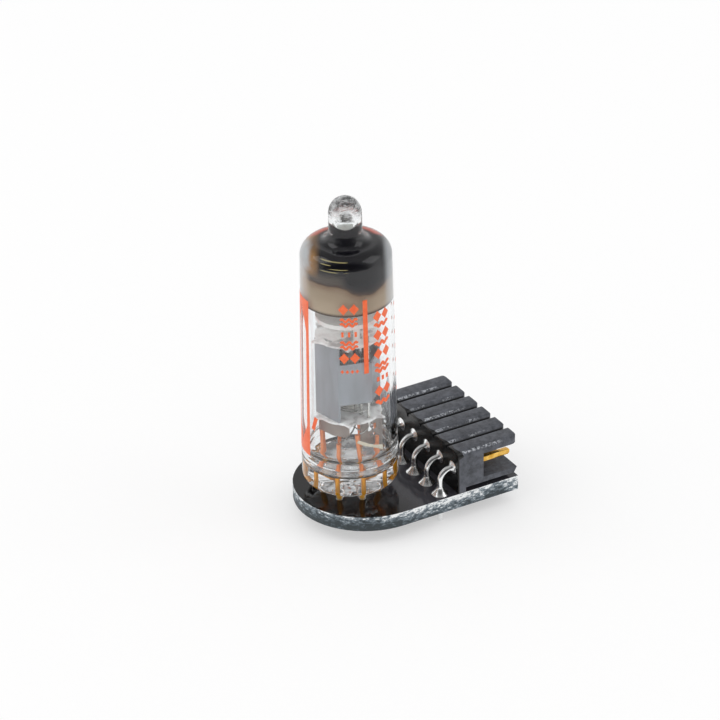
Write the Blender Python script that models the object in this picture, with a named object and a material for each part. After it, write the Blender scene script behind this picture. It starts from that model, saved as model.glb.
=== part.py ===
"""A subminiature vacuum tube on a small carrier board with a right-angle plug header.

The tube stands on the board with eight leads in a ring. The header at the other end has six
bent pins: gold in the mating slot, tinned where they turn down through the board.
Lengths are in metres. Z = 0 is the board's underside, on the tube's axis. +X points out of the
mating slot. Heights named ...Height are measured from the board's top face.
"""
import math

import bmesh
import bpy
import numpy as np
from mathutils import Matrix, Vector

for old in list(bpy.data.objects):
    bpy.data.objects.remove(old, do_unlink=True)

mm = 0.001

# clearances
seatGap = 0.02 * mm          # between two pieces that touch
slideGap = 0.03 * mm         # round a wire in its hole
overcut = 1.00 * mm          # how far a cutting shape reaches past what it cuts

# header
ways = 6
pitch = 2.54 * mm
headerSideTrim = 0.24 * mm   # taken off the row of ways in all
headerFaceX = 8.30 * mm      # the face towards the tube
headerBlockDepth = 3.00 * mm
fingerLength = 4.10 * mm     # from the block to the finger tips
fingerTopHeight = 4.70 * mm
fingerThickness = 0.80 * mm
fingerRound = 0.52 * mm
fingerGap = 0.22 * mm
fingerTipChamfer = 0.30 * mm
outerTipRound = 0.80 * mm    # on the two corners at the ends of the row
grooveDepth = 0.56 * mm
shelfTopHeight = 1.14 * mm
shelfThickness = 0.62 * mm
shelfSetback = 0.12 * mm     # shelf ends short of the finger tips
shelfEndSlant = 0.35 * mm
footDepth = 0.90 * mm        # rib along the tube side that stands on the board

# header pins
pinRadius = 0.30 * mm        # tinned round tail
pinHalfWidth = 0.30 * mm     # square gold end
pinHeight = 2.60 * mm
pinTipSetback = 0.45 * mm    # gold tip ends short of the finger tips
pinTipTaper = 0.22 * mm
pinBendRadius = 1.20 * mm
flareRadius = 0.70 * mm
flareLength = 0.30 * mm      # from the end of the bend to the header's face
flareCurve = 3.0             # power by which the flare opens
tailDrop = 1.50 * mm         # all wires end this far under the board

# board
boardThickness = 1.60 * mm
boardEndMargin = 0.0 * mm    # board past the finger tips
boardRoundCentreX = 1.80 * mm
holePlay = 0.16 * mm         # solder-filled space round a wire in the board

# solder
topConeHeight = 0.85 * mm
topConeRadius = 0.86 * mm
underConeHeight = 0.62 * mm
underConeRadius = 0.78 * mm
topConeCurve = 1.7           # powers by which the cones widen towards the board
underConeCurve = 2.0

# glass
bulbBaseRadius = 4.90 * mm
bulbTopRadius = 4.60 * mm
glassWall = 0.62 * mm
shoulderHeight = 26.50 * mm
shoulderRadius = 1.60 * mm
neckBaseRadius = 2.78 * mm
neckRise = 1.35 * mm
tipRadius = 1.74 * mm
tipLength = 3.00 * mm        # from the shoulder's top to the centre of the tip's round end
tipBoreRadius = 0.80 * mm
tipBoreDrop = 0.87 * mm      # end of the bore under the centre of the tip's round end
sealHeight = 4.30 * mm       # where the bulb meets the stem's rim
stemFloorHeight = 2.95 * mm  # inner floor of the dished stem
stemBottomHeight = 1.10 * mm
stemEdgeRadius = 0.80 * mm
stemSpigot = 0.35 * mm
spigotLip = 0.25 * mm
stemFloorSlope = 0.30 * mm   # run of the slope between the rim and the floor
beadRadius = 0.55 * mm
beadRise = 0.44 * mm         # centre of the bead's round end over the board

# leads
leadCount = 8
leadRadius = 0.20 * mm
leadRingRadius = 3.05 * mm
leadRingTurn = math.radians(-97.0)
leadUpright = 0.45 * mm      # straight run of a lead over the stem's floor
longLeadDrop = 1.33 * mm      # each drop runs from the lower mica down to a lead's end
middleLeadDrop = 2.08 * mm
shortLeadDrop = 2.43 * mm

# mount of the electrodes
electrodeTurn = math.radians(13.1)
lowerMicaHeight = 9.05 * mm
upperMicaHeight = 17.80 * mm
micaThickness = 0.24 * mm
micaTeeth = 6
micaToothLength = 0.62 * mm
micaToothWidth = 0.95 * mm
micaToothTurn = math.radians(-132.6)
micaClearance = 0.06 * mm
slotLength = 1.00 * mm
slotWidth = 0.30 * mm
slotRadius = 2.62 * mm

anodeRadius = 3.35 * mm
anodeSheet = 0.16 * mm
anodeShortHeight = 4.60 * mm

cathodeRadius = 0.55 * mm
cathodeSheet = 0.10 * mm
cathodeStickOut = 0.55 * mm
heaterRadius = 0.10 * mm
heaterHalfSpan = 0.20 * mm
heaterDrop = 0.90 * mm

rodRadius = 0.17 * mm
rodStickOut = 0.50 * mm
turnRadius = 0.045 * mm
controlRodY = 1.00 * mm
screenRodY = 1.78 * mm
suppressorRodY = 2.80 * mm
controlHalfWidth = 0.75 * mm
screenHalfWidth = 1.15 * mm
suppressorHalfWidth = 1.60 * mm
controlTurns = 7
screenTurns = 6
suppressorTurns = 5

shieldRise = 2.40 * mm       # top of the upper shield over the upper mica's middle
shieldRadius = 3.20 * mm
shieldSheet = 0.16 * mm
shieldLip = 0.45 * mm
shieldLegWidth = 0.60 * mm
shieldLegAngle = math.radians(-98.0)
shieldLegRadius = 2.45 * mm

panRadius = 2.75 * mm
panDrop = 1.75 * mm
panSheet = 0.14 * mm
panWindowWidth = 0.75 * mm
panWindowHeight = 0.60 * mm
panWindowDrop = 0.42 * mm    # from the pan's upper edge to its windows
panArchWidth = 1.38 * mm
panArchHeight = 0.96 * mm

getterRadius = 1.90 * mm
getterWire = 0.34 * mm
getterRise = 2.40 * mm       # middle of the getter ring over the upper shield's top
getterPostRadius = 0.22 * mm

strapWidth = 0.40 * mm
strapSheet = 0.12 * mm

# numbers of flat faces that stand for a curve
roundSides = 10
wireSides = 8
bulbSides = 28
boardArcSides = 28
cornerSteps = 4
glassCornerSteps = 5
bendSteps = 6
coneSteps = 4
strapSteps = 7
gridTurnSides = 10
gridWireSides = 4

# worked-out places
headerLength = ways * pitch - headerSideTrim
slotBackX = headerFaceX + headerBlockDepth
fingerEndX = slotBackX + fingerLength
boardEndX = fingerEndX + boardEndMargin
boardHalfWidth = headerLength / 2
tailX = headerFaceX - flareLength - pinBendRadius
pinZ = boardThickness + pinHeight
wireEndZ = -tailDrop
stemBottomZ = boardThickness + stemBottomHeight
stemFloorZ = boardThickness + stemFloorHeight
sealZ = boardThickness + sealHeight
leadConeRadius = underConeRadius - pinRadius + leadRadius
shoulderZ = boardThickness + shoulderHeight
lowerMicaZ = boardThickness + lowerMicaHeight
upperMicaZ = boardThickness + upperMicaHeight
shieldTopZ = upperMicaZ + shieldRise
getterZ = shieldTopZ + getterRise
bulbInnerRadius = bulbTopRadius - glassWall
micaToothRadius = bulbInnerRadius - micaClearance
micaRadius = micaToothRadius - micaToothLength
rodLow = lowerMicaZ - micaThickness / 2 - rodStickOut
heaterLow = lowerMicaZ - micaThickness / 2 - cathodeStickOut - heaterDrop
wayPlaces = [(index - (ways - 1) / 2) * pitch for index in range(ways)]
leadAngles = [leadRingTurn + index * 2 * math.pi / leadCount for index in range(leadCount)]


def makeMaterial(name, colour, roughness, metallic=0.0, transmission=0.0):
    material = bpy.data.materials.new(name)
    material.use_nodes = True
    shader = material.node_tree.nodes["Principled BSDF"]
    shader.inputs["Base Color"].default_value = (*colour, 1.0)
    shader.inputs["Roughness"].default_value = roughness
    shader.inputs["Metallic"].default_value = metallic
    shader.inputs["Transmission Weight"].default_value = transmission
    return material


boardBlack = makeMaterial("solder_mask_black", (0.016, 0.015, 0.017), 0.18)
mouldedBlack = makeMaterial("moulded_black", (0.035, 0.037, 0.042), 0.55)
tinned = makeMaterial("tinned_wire", (0.86, 0.86, 0.85), 0.18, metallic=1.0)
solder = makeMaterial("solder", (0.80, 0.80, 0.79), 0.22, metallic=1.0)
clearGlass = makeMaterial("clear_glass", (0.97, 0.98, 0.98), 0.02, transmission=1.0)
copperWire = makeMaterial("copper_clad_wire", (0.80, 0.38, 0.18), 0.35, metallic=0.8)
mica = makeMaterial("mica", (0.80, 0.78, 0.76), 0.45)
greyNickel = makeMaterial("carbonised_nickel", (0.36, 0.37, 0.39), 0.50, metallic=0.6)
brightNickel = makeMaterial("bright_nickel", (0.72, 0.71, 0.69), 0.25, metallic=1.0)
oxideWhite = makeMaterial("cathode_coating", (0.85, 0.84, 0.80), 0.80)


def finish(name, bm, material, smooth=True):
    """Turn a closed bmesh into one named object, faces out."""
    bmesh.ops.recalc_face_normals(bm, faces=bm.faces[:])
    mesh = bpy.data.meshes.new(name)
    bm.to_mesh(mesh)
    bm.free()
    if smooth:
        mesh.shade_smooth()
        mesh.set_sharp_from_angle(angle=math.radians(35))
    mesh.materials.append(material)
    obj = bpy.data.objects.new(name, mesh)
    bpy.context.scene.collection.objects.link(obj)
    return obj


def revolved(outline, sides, closed):
    """Turn (radius, z) points round Z. An open outline runs from axis to axis, a closed one
    joins its last point to its first. A point on the axis becomes one vertex."""
    bm = bmesh.new()
    rings = []
    for radius, z in outline:
        if radius < 1e-9:
            rings.append([bm.verts.new((0.0, 0.0, z))])
            continue
        turn = [2 * math.pi * step / sides for step in range(sides)]
        rings.append([bm.verts.new((radius * math.cos(a), radius * math.sin(a), z)) for a in turn])
    pairs = list(zip(rings, rings[1:]))
    if closed:
        pairs.append((rings[-1], rings[0]))
    for first, second in pairs:
        if len(first) == len(second) == 1:
            continue
        for step in range(sides):
            after = (step + 1) % sides
            if len(first) == 1:
                bm.faces.new((first[0], second[after], second[step]))
            elif len(second) == 1:
                bm.faces.new((first[step], first[after], second[0]))
            else:
                bm.faces.new((first[step], first[after], second[after], second[step]))
    return bm


def extruded(outline, low, high, axis="Z"):
    """A prism of a flat outline, given as (x, y) along Z, (y, z) along X or (x, z) along Y."""
    bm = bmesh.new()
    place = {"X": lambda a, b, end: (end, a, b), "Y": lambda a, b, end: (a, end, b),
             "Z": lambda a, b, end: (a, b, end)}[axis]
    bottom = [bm.verts.new(place(a, b, low)) for a, b in outline]
    top = [bm.verts.new(place(a, b, high)) for a, b in outline]
    count = len(outline)
    bm.faces.new(bottom)
    bm.faces.new(top)
    for index in range(count):
        after = (index + 1) % count
        bm.faces.new((bottom[index], bottom[after], top[after], top[index]))
    bmesh.ops.recalc_face_normals(bm, faces=bm.faces[:])
    return bm


def box(low, high):
    return extruded([(low[0], low[1]), (high[0], low[1]), (high[0], high[1]), (low[0], high[1])],
                    low[2], high[2])


def roundSection(radius, sides):
    turn = [2 * math.pi * (step + 0.5) / sides for step in range(sides)]
    return [(radius * math.cos(a), radius * math.sin(a)) for a in turn]


def squareSection(half, sides):
    """The same number of points as a round section, pushed out to a square."""
    points = []
    for a, b in roundSection(1.0, sides):
        reach = half / max(abs(a), abs(b))
        points.append((a * reach, b * reach))
    return points


def ribbonSection(width, thickness):
    return [(width / 2, thickness / 2), (-width / 2, thickness / 2),
            (-width / 2, -thickness / 2), (width / 2, -thickness / 2)]


def swept(path, sections, side=Vector((0.0, 1.0, 0.0))):
    """Carry a section along a path. The section's first coordinate follows the side vector."""
    bm = bmesh.new()
    points = [Vector(point) for point in path]
    rings = []
    for index, point in enumerate(points):
        before = points[max(index - 1, 0)]
        after = points[min(index + 1, len(points) - 1)]
        along = (after - before).normalized()
        across = (side - along * side.dot(along)).normalized()
        up = along.cross(across)
        section = sections[index] if isinstance(sections[0][0], tuple) else sections
        rings.append([bm.verts.new(point + across * a + up * b) for a, b in section])
    count = len(rings[0])
    for first, second in zip(rings, rings[1:]):
        for step in range(count):
            nextStep = (step + 1) % count
            bm.faces.new((first[step], first[nextStep], second[nextStep], second[step]))
    bm.faces.new(rings[0])
    bm.faces.new(rings[-1])
    bmesh.ops.recalc_face_normals(bm, faces=bm.faces[:])
    return bm


def moved(bm, place):
    bmesh.ops.translate(bm, verts=bm.verts[:], vec=Vector(place))
    return bm


def joined(parts):
    """Gather several bmeshes in one, still as separate bodies."""
    whole = bmesh.new()
    for part in parts:
        mesh = bpy.data.meshes.new("part")
        part.to_mesh(mesh)
        part.free()
        whole.from_mesh(mesh)
        bpy.data.meshes.remove(mesh)
    return whole


def combine(obj, bm, operation):
    """Apply an exact Boolean of the object with a second closed mesh."""
    tool = finish(obj.name + "_tool", bm, obj.data.materials[0], smooth=False)
    modifier = obj.modifiers.new(operation, "BOOLEAN")
    modifier.operation = operation
    modifier.solver = "EXACT"
    modifier.object = tool
    scene = bpy.context.evaluated_depsgraph_get()
    scene.update()
    result = bpy.data.meshes.new_from_object(obj.evaluated_get(scene))
    obj.modifiers.clear()
    old = obj.data
    obj.data = result
    result.name = obj.name
    bpy.data.meshes.remove(old)
    bpy.data.objects.remove(tool, do_unlink=True)
    result.shade_smooth()
    result.set_sharp_from_angle(angle=math.radians(35))
    return obj


def arc(centre, radius, start, end, steps):
    """Points on an arc, both ends included, angles in degrees."""
    turn = [math.radians(start + (end - start) * step / steps) for step in range(steps + 1)]
    return [(centre[0] + radius * math.cos(a), centre[1] + radius * math.sin(a)) for a in turn]


def onRing(radius, angle, z=0.0):
    return (radius * math.cos(angle), radius * math.sin(angle), z)


def turnElectrodes(bm):
    bmesh.ops.rotate(bm, verts=bm.verts[:], cent=(0, 0, 0),
                     matrix=Matrix.Rotation(electrodeTurn, 3, "Z"))
    return bm


def electrodePoint(x, y, z):
    return Matrix.Rotation(electrodeTurn, 3, "Z") @ Vector((x, y, z))


def makeBoard():
    """Plate with a round end. Its underside has a square seat of its own, clear of the solder."""
    outline = arc((boardRoundCentreX, 0.0), boardHalfWidth, 90, 270, boardArcSides)
    outline += [(boardEndX, -boardHalfWidth), (boardEndX, boardHalfWidth)]
    plate = extruded(outline, 0.0, boardThickness)
    seatHalf = (leadRingRadius - leadConeRadius - slideGap) / math.sqrt(2)
    for direction in ((1, 0, 0), (-1, 0, 0), (0, 1, 0), (0, -1, 0)):
        under = [face for face in plate.faces if face.calc_center_median().z < seatGap]
        near = {item for face in under for item in (face, *face.edges, *face.verts)}
        bmesh.ops.bisect_plane(plate, geom=list(near), plane_co=Vector(direction) * seatHalf,
                               plane_no=direction)
    board = finish("circuit_board", plate, boardBlack)
    holes = []
    for y in wayPlaces:
        hole = extruded(roundSection(pinRadius + holePlay, roundSides), -overcut, boardThickness + overcut)
        holes.append(moved(hole, (tailX, y, 0.0)))
    for angle in leadAngles:
        hole = extruded(roundSection(leadRadius + holePlay, roundSides), -overcut, boardThickness + overcut)
        holes.append(moved(hole, onRing(leadRingRadius, angle)))
    combine(board, joined(holes), "DIFFERENCE")


def makeHeaderHousing():
    """Comb of rounded fingers over a block and a shelf, cut from one moulded outline."""
    topZ = boardThickness + fingerTopHeight
    shelfTopZ = boardThickness + shelfTopHeight
    bottomZ = shelfTopZ - shelfThickness
    half = headerLength / 2
    outline = [(-half, bottomZ)]
    for index, y in enumerate(wayPlaces):
        left = -half if index == 0 else y - pitch / 2 + fingerGap / 2
        right = half if index == ways - 1 else y + pitch / 2 - fingerGap / 2
        if index:
            outline.append((left, topZ - grooveDepth))
        outline += arc((left + fingerRound, topZ - fingerRound), fingerRound, 180, 90, cornerSteps)
        outline += arc((right - fingerRound, topZ - fingerRound), fingerRound, 90, 0, cornerSteps)
        if index < ways - 1:
            outline.append((right, topZ - grooveDepth))
    outline.append((half, bottomZ))
    housing = finish("header_housing", extruded(outline, headerFaceX, fingerEndX, "X"), mouldedBlack)

    foot = box((headerFaceX, -half, boardThickness + seatGap),
               (headerFaceX + footDepth, half, bottomZ + shelfThickness / 2))
    combine(housing, foot, "UNION")

    far = fingerEndX + overcut
    slot = box((slotBackX, -half - overcut, shelfTopZ), (far, half + overcut, topZ - fingerThickness))
    combine(housing, slot, "DIFFERENCE")

    # the gaps between fingers widen at the tips, and the row's end corners are round
    gaps = []
    tipX = fingerEndX - fingerTipChamfer
    narrow = fingerGap / 2
    wide = narrow + far - tipX
    gapLow = topZ - fingerThickness - fingerGap
    for y in wayPlaces[:-1]:
        middle = y + pitch / 2
        plan = [(slotBackX, middle - narrow), (tipX, middle - narrow), (far, middle - wide),
                (far, middle + wide), (tipX, middle + narrow), (slotBackX, middle + narrow)]
        gaps.append(extruded(plan, gapLow, topZ + overcut))
    for side in (-1, 1):
        centre = (fingerEndX - outerTipRound, half - outerTipRound)
        corner = arc(centre, outerTipRound, 90, 0, cornerSteps)
        plan = [(x, side * y) for x, y in corner]
        plan += [(far, side * (half - outerTipRound)), (far, side * (half + overcut)),
                 (fingerEndX - outerTipRound, side * (half + overcut))]
        gaps.append(extruded(plan, gapLow, topZ + overcut))
    combine(housing, joined(gaps), "DIFFERENCE")

    # the shelf stops short and its end slants back downwards
    shelfEndX = fingerEndX - shelfSetback
    slant = shelfEndSlant / shelfThickness
    end = [(shelfEndX, shelfTopZ + fingerGap), (shelfEndX, shelfTopZ),
           (shelfEndX - slant * (shelfThickness + overcut), bottomZ - overcut),
           (far, bottomZ - overcut), (far, shelfTopZ + fingerGap)]
    combine(housing, extruded(end, -half - overcut, half + overcut, "Y"), "DIFFERENCE")

    holes = []
    holeRadius = pinHalfWidth * math.sqrt(2) + slideGap
    for y in wayPlaces:
        section = roundSection(holeRadius, roundSides)
        hole = extruded([(y + a, pinZ + b) for a, b in section], headerFaceX - overcut,
                        slotBackX + overcut, "X")
        holes.append(hole)
    combine(housing, joined(holes), "DIFFERENCE")


def makeHeaderPin(name, y):
    """One wire: tail up through the board, round bend, flare on the header's face, square end."""
    bendX = tailX + pinBendRadius
    faceX = headerFaceX - seatGap
    path = [(tailX, y, wireEndZ)]
    bend = arc((bendX, pinZ - pinBendRadius), pinBendRadius, 180, 90, bendSteps)
    path += [(x, y, z) for x, z in bend]
    widths = [pinRadius] * len(path)
    for step in range(1, coneSteps + 1):
        share = step / coneSteps
        path.append((bendX + (faceX - bendX) * share, y, pinZ))
        widths.append(pinRadius + (flareRadius - pinRadius) * share ** flareCurve)
    sections = [roundSection(width, wireSides) for width in widths]
    tipX = fingerEndX - pinTipSetback
    path += [(faceX + seatGap / 2, y, pinZ), (tipX - pinTipTaper, y, pinZ), (tipX, y, pinZ)]
    sections += [squareSection(pinHalfWidth, wireSides), squareSection(pinHalfWidth, wireSides),
                 squareSection(pinHalfWidth - pinTipTaper / 2, wireSides)]
    finish(name, swept(path, sections), tinned)


def coneOutline(rim, reach, foot, height, curve):
    """Points from a cone's narrow end down to its foot: the radius grows by a power of the way."""
    shares = [step / coneSteps for step in range(coneSteps + 1)]
    return [(rim + (reach - rim) * share ** curve, foot + height * (1 - share)) for share in shares]


def makeJoint(name, centre, wireRadius, topCone):
    """Solder round a wire: fills the board's hole, with a hollow cone at each open end."""
    inner = wireRadius + slideGap
    outer = wireRadius + holePlay - slideGap
    rim = inner + seatGap
    outline = [(inner, -underConeHeight)]
    if topCone:
        outline.append((inner, boardThickness + topConeHeight))
        outline += coneOutline(rim, topConeRadius, boardThickness + seatGap,
                               topConeHeight - seatGap, topConeCurve)
        outline.append((outer, boardThickness + seatGap))
    else:
        outline += [(inner, boardThickness - seatGap), (outer, boardThickness - seatGap)]
    outline.append((outer, -seatGap))
    reach = underConeRadius - pinRadius + wireRadius
    outline += coneOutline(rim, reach, -seatGap, seatGap - underConeHeight, underConeCurve)[::-1]
    finish(name, moved(revolved(outline, roundSides, closed=True), centre), solder)


def makeEnvelope():
    """Tapered bulb, round shoulder, hollow neck and solid round tip, open at the seal."""
    shoulderTop = shoulderZ + shoulderRadius
    centre = bulbTopRadius - shoulderRadius
    tipZ = shoulderTop + tipLength
    neckWidth = neckBaseRadius - tipRadius
    outline = [(bulbBaseRadius, sealZ + seatGap), (bulbTopRadius, shoulderZ)]
    outline += arc((centre, shoulderZ), shoulderRadius, 0, 90, glassCornerSteps)[1:]
    outline += [(tipRadius + neckWidth * (1 - math.sin(a)), shoulderTop + neckRise * (1 - math.cos(a)))
                for a in np.linspace(math.pi / 24, math.pi / 2, glassCornerSteps)]
    outline += arc((0.0, tipZ), tipRadius, 0, 90, glassCornerSteps)[:-1]
    outline.append((0.0, tipZ + tipRadius))
    boreTop = tipZ - tipBoreDrop
    outline.append((0.0, boreTop))
    outline += arc((0.0, boreTop - tipBoreRadius), tipBoreRadius, 90, 0, 2)[1:]
    outline.append((tipBoreRadius, shoulderTop + neckRise / 2))
    innerShoulder = shoulderRadius - glassWall
    outline.append((centre, shoulderZ + innerShoulder))
    outline += arc((centre, shoulderZ), innerShoulder, 90, 0, cornerSteps)[1:]
    outline.append((bulbBaseRadius - glassWall, sealZ + seatGap))
    finish("glass_envelope", revolved(outline, bulbSides, closed=True), clearGlass)


def makeStem():
    """Pressed glass dish: full-width foot, rim inside the bulb, a bead round each lead."""
    spigotRadius = bulbBaseRadius - glassWall - slideGap
    outline = [(0.0, stemBottomZ)]
    outline += arc((bulbBaseRadius - stemEdgeRadius, stemBottomZ + stemEdgeRadius),
                   stemEdgeRadius, -90, 0, glassCornerSteps)
    lipRadius = spigotRadius - spigotLip
    outline += [(bulbBaseRadius, sealZ), (spigotRadius, sealZ), (spigotRadius, sealZ + stemSpigot),
                (lipRadius, sealZ + stemSpigot), (lipRadius, stemFloorZ + stemFloorSlope),
                (lipRadius - stemFloorSlope, stemFloorZ), (0.0, stemFloorZ)]
    stem = finish("glass_stem", revolved(outline, bulbSides, closed=False), clearGlass)
    beads = []
    for angle in leadAngles:
        bead = [(0.0, boardThickness + seatGap)]
        bead += arc((0.0, boardThickness + seatGap + beadRise), beadRadius, -60, 0, 3)
        bead += [(beadRadius, stemBottomZ + stemEdgeRadius / 2), (0.0, stemBottomZ + stemEdgeRadius / 2)]
        beads.append(moved(revolved(bead, roundSides, closed=False), onRing(leadRingRadius, angle)))
    combine(stem, joined(beads), "UNION")
    holes = []
    for angle in leadAngles:
        bore = roundSection(leadRadius + slideGap, wireSides)
        hole = extruded(bore, boardThickness - overcut, sealZ + overcut)
        holes.append(moved(hole, onRing(leadRingRadius, angle)))
    combine(stem, joined(holes), "DIFFERENCE")


# where each lead ends: how far under the lower mica, degrees moved round the ring
leadTops = [
    (longLeadDrop, -9.0),
    (shortLeadDrop, -2.0),
    (middleLeadDrop, 3.0),
    (shortLeadDrop, 4.0),
    (middleLeadDrop, -4.0),
    (shortLeadDrop, 2.0),
    (longLeadDrop, 0.0),
    (shortLeadDrop, 1.0),
]


def leadTop(index):
    drop, turn = leadTops[index]
    topZ = lowerMicaZ - micaThickness / 2 - drop
    return Vector(onRing(leadRingRadius, leadAngles[index] + math.radians(turn), topZ))


def makeLead(index):
    angle = leadAngles[index]
    top = leadTop(index)
    foot = Vector(onRing(leadRingRadius, angle, wireEndZ))
    leave = Vector(onRing(leadRingRadius, angle, stemFloorZ + leadUpright))
    middle = leave.lerp(top, 0.5)
    section = roundSection(leadRadius, wireSides)
    path = [foot, Vector(onRing(leadRingRadius, angle, stemFloorZ)), leave, middle, top]
    finish("lead_%d" % (index + 1), swept(path, section, Vector((1.0, 0.0, 0.0))), copperWire)


def micaOutline():
    """A disc with pointed teeth, and two more points on the rim between each pair of teeth."""
    rootHalfAngle = math.asin(micaToothWidth / 2 / micaRadius)
    toothStep = 2 * math.pi / micaTeeth
    points = []
    for tooth in range(micaTeeth):
        middle = micaToothTurn + tooth * toothStep
        points.append((micaToothRadius, middle))
        for angle in np.linspace(rootHalfAngle, toothStep - rootHalfAngle, 4):
            points.append((micaRadius, middle + angle))
    return [(radius * math.cos(a), radius * math.sin(a)) for radius, a in points]


def makeMica(name, middleZ):
    """Punched spacer: teeth that grip the bulb, holes for the rods and cathode, slots."""
    low = middleZ - micaThickness / 2
    high = middleZ + micaThickness / 2
    plate = finish(name, turnElectrodes(extruded(micaOutline(), low, high)), mica)
    cuts = []
    for y in (controlRodY, screenRodY, suppressorRodY):
        for side in (-1, 1):
            hole = extruded(roundSection(rodRadius + slideGap, wireSides), low - overcut, high + overcut)
            cuts.append(turnElectrodes(moved(hole, (0.0, side * y, 0.0))))
    hole = extruded(roundSection(cathodeRadius + slideGap, roundSides), low - overcut, high + overcut)
    cuts.append(turnElectrodes(hole))
    for side in (-1, 1):
        slot = box((side * slotRadius - slotWidth / 2, -slotLength / 2, low - overcut),
                   (side * slotRadius + slotWidth / 2, slotLength / 2, high + overcut))
        cuts.append(turnElectrodes(slot))
    combine(plate, joined(cuts), "DIFFERENCE")


def hexagon(radius, firstCorner=30):
    turn = [math.radians(firstCorner + 60 * step) for step in range(6)]
    return [(radius * math.cos(a), radius * math.sin(a)) for a in turn]


def makeAnode():
    """Folded hexagonal box: two opposite faces reach from mica to mica, the others stop short."""
    low = lowerMicaZ + micaThickness / 2 + seatGap
    high = upperMicaZ - micaThickness / 2 - seatGap
    anode = finish("anode", turnElectrodes(extruded(hexagon(anodeRadius), low, high)), greyNickel)
    inside = hexagon(anodeRadius - anodeSheet / math.cos(math.radians(30)))
    combine(anode, turnElectrodes(extruded(inside, low - overcut, high + overcut)), "DIFFERENCE")
    face = anodeRadius * math.cos(math.radians(30)) - anodeSheet - seatGap
    middle = (low + high) / 2
    reach = anodeRadius + overcut
    cuts = []
    for start, end in ((low - overcut, middle - anodeShortHeight / 2),
                       (middle + anodeShortHeight / 2, high + overcut)):
        cuts.append(turnElectrodes(box((-face, -reach, start), (face, reach, end))))
    combine(anode, joined(cuts), "DIFFERENCE")


def makeCathode():
    low = lowerMicaZ - micaThickness / 2 - cathodeStickOut
    high = upperMicaZ + micaThickness / 2 + cathodeStickOut
    outline = [(cathodeRadius - cathodeSheet, low), (cathodeRadius, low),
               (cathodeRadius, high), (cathodeRadius - cathodeSheet, high)]
    finish("cathode_sleeve", turnElectrodes(revolved(outline, roundSides, closed=True)), oxideWhite)


def makeHeater():
    """Hairpin inside the sleeve, its two legs hanging out below."""
    high = upperMicaZ - heaterHalfSpan
    path = [electrodePoint(-heaterHalfSpan, 0.0, heaterLow)]
    bend = arc((0.0, high), heaterHalfSpan, 180, 0, bendSteps)
    path += [electrodePoint(x, 0.0, z) for x, z in bend]
    path.append(electrodePoint(heaterHalfSpan, 0.0, heaterLow))
    side = electrodePoint(0.0, 1.0, 0.0)
    finish("heater", swept(path, roundSection(heaterRadius, 6), side), oxideWhite)


def makeGrid(name, rodY, halfWidth, turns):
    """Two side rods with one wire wound round them as a flat helix."""
    high = upperMicaZ + micaThickness / 2 + rodStickOut
    rods = []
    for side in (-1, 1):
        rod = extruded(roundSection(rodRadius, wireSides), rodLow, high)
        rods.append(turnElectrodes(moved(rod, (0.0, side * rodY, 0.0))))
    grid = finish(name, joined(rods), brightNickel)
    low = lowerMicaZ + micaThickness
    top = upperMicaZ - micaThickness
    count = turns * gridTurnSides + gridTurnSides // 2 + 1
    path = []
    for step in range(count):
        share = step / (count - 1)
        a = math.pi / 2 + 2 * math.pi * step / gridTurnSides
        path.append(electrodePoint(halfWidth * math.cos(a), rodY * math.sin(a), low + (top - low) * share))
    helix = swept(path, roundSection(turnRadius, gridWireSides), Vector((0.0, 0.0, 1.0)))
    combine(grid, helix, "UNION")


def makeUpperShield():
    """Shallow lid over the mount on two legs that are bent down to the upper mica."""
    top = shieldTopZ
    lid = finish("upper_shield", revolved([
        (0.0, top), (shieldRadius, top), (shieldRadius, top - shieldLip),
        (shieldRadius - shieldSheet, top - shieldLip), (shieldRadius - shieldSheet, top - shieldSheet),
        (0.0, top - shieldSheet)], bulbSides, closed=False), brightNickel)
    low = upperMicaZ + micaThickness / 2 + seatGap
    legs = []
    for turn in (0.0, math.pi):
        leg = box((shieldLegRadius - shieldSheet, -shieldLegWidth / 2, low),
                  (shieldLegRadius, shieldLegWidth / 2, top - shieldSheet / 2))
        bmesh.ops.rotate(leg, verts=leg.verts[:], cent=(0, 0, 0),
                         matrix=Matrix.Rotation(shieldLegAngle + turn, 3, "Z"))
        legs.append(leg)
    combine(lid, joined(legs), "UNION")


def makeLowerShield():
    """Hexagonal skirt hung under the lower mica, with two windows and an arch in four faces."""
    high = lowerMicaZ - micaThickness / 2 - seatGap
    low = high - panDrop
    pan = finish("lower_shield", turnElectrodes(extruded(hexagon(panRadius, 0), low, high)), greyNickel)
    inside = hexagon(panRadius - panSheet / math.cos(math.radians(30)), 0)
    combine(pan, turnElectrodes(extruded(inside, low - overcut, high + overcut)), "DIFFERENCE")
    cuts = []
    for turn in (-30, 150):
        window = box((0.0, -panWindowWidth / 2, high - panWindowDrop - panWindowHeight),
                     (panRadius + overcut, panWindowWidth / 2, high - panWindowDrop))
        bmesh.ops.rotate(window, verts=window.verts[:], cent=(0, 0, 0),
                         matrix=Matrix.Rotation(electrodeTurn + math.radians(turn), 3, "Z"))
        cuts.append(window)
    for turn in (-90, 30, 90, -150):
        gap = box((0.0, -panArchWidth / 2, low - overcut),
                  (panRadius + overcut, panArchWidth / 2, low + panArchHeight))
        bmesh.ops.rotate(gap, verts=gap.verts[:], cent=(0, 0, 0),
                         matrix=Matrix.Rotation(electrodeTurn + math.radians(turn), 3, "Z"))
        cuts.append(gap)
    combine(pan, joined(cuts), "DIFFERENCE")


def makeGetter():
    """Ring of getter channel on one post that stands on the upper shield."""
    outline = [(getterRadius + a, getterZ + b) for a, b in roundSection(getterWire, wireSides)]
    ring = finish("getter_ring", revolved(outline, bulbSides // 2, closed=True), brightNickel)
    post = extruded(roundSection(getterPostRadius, wireSides), shieldTopZ + seatGap, getterZ)
    combine(ring, moved(post, (getterRadius, 0.0, 0.0)), "UNION")


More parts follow.
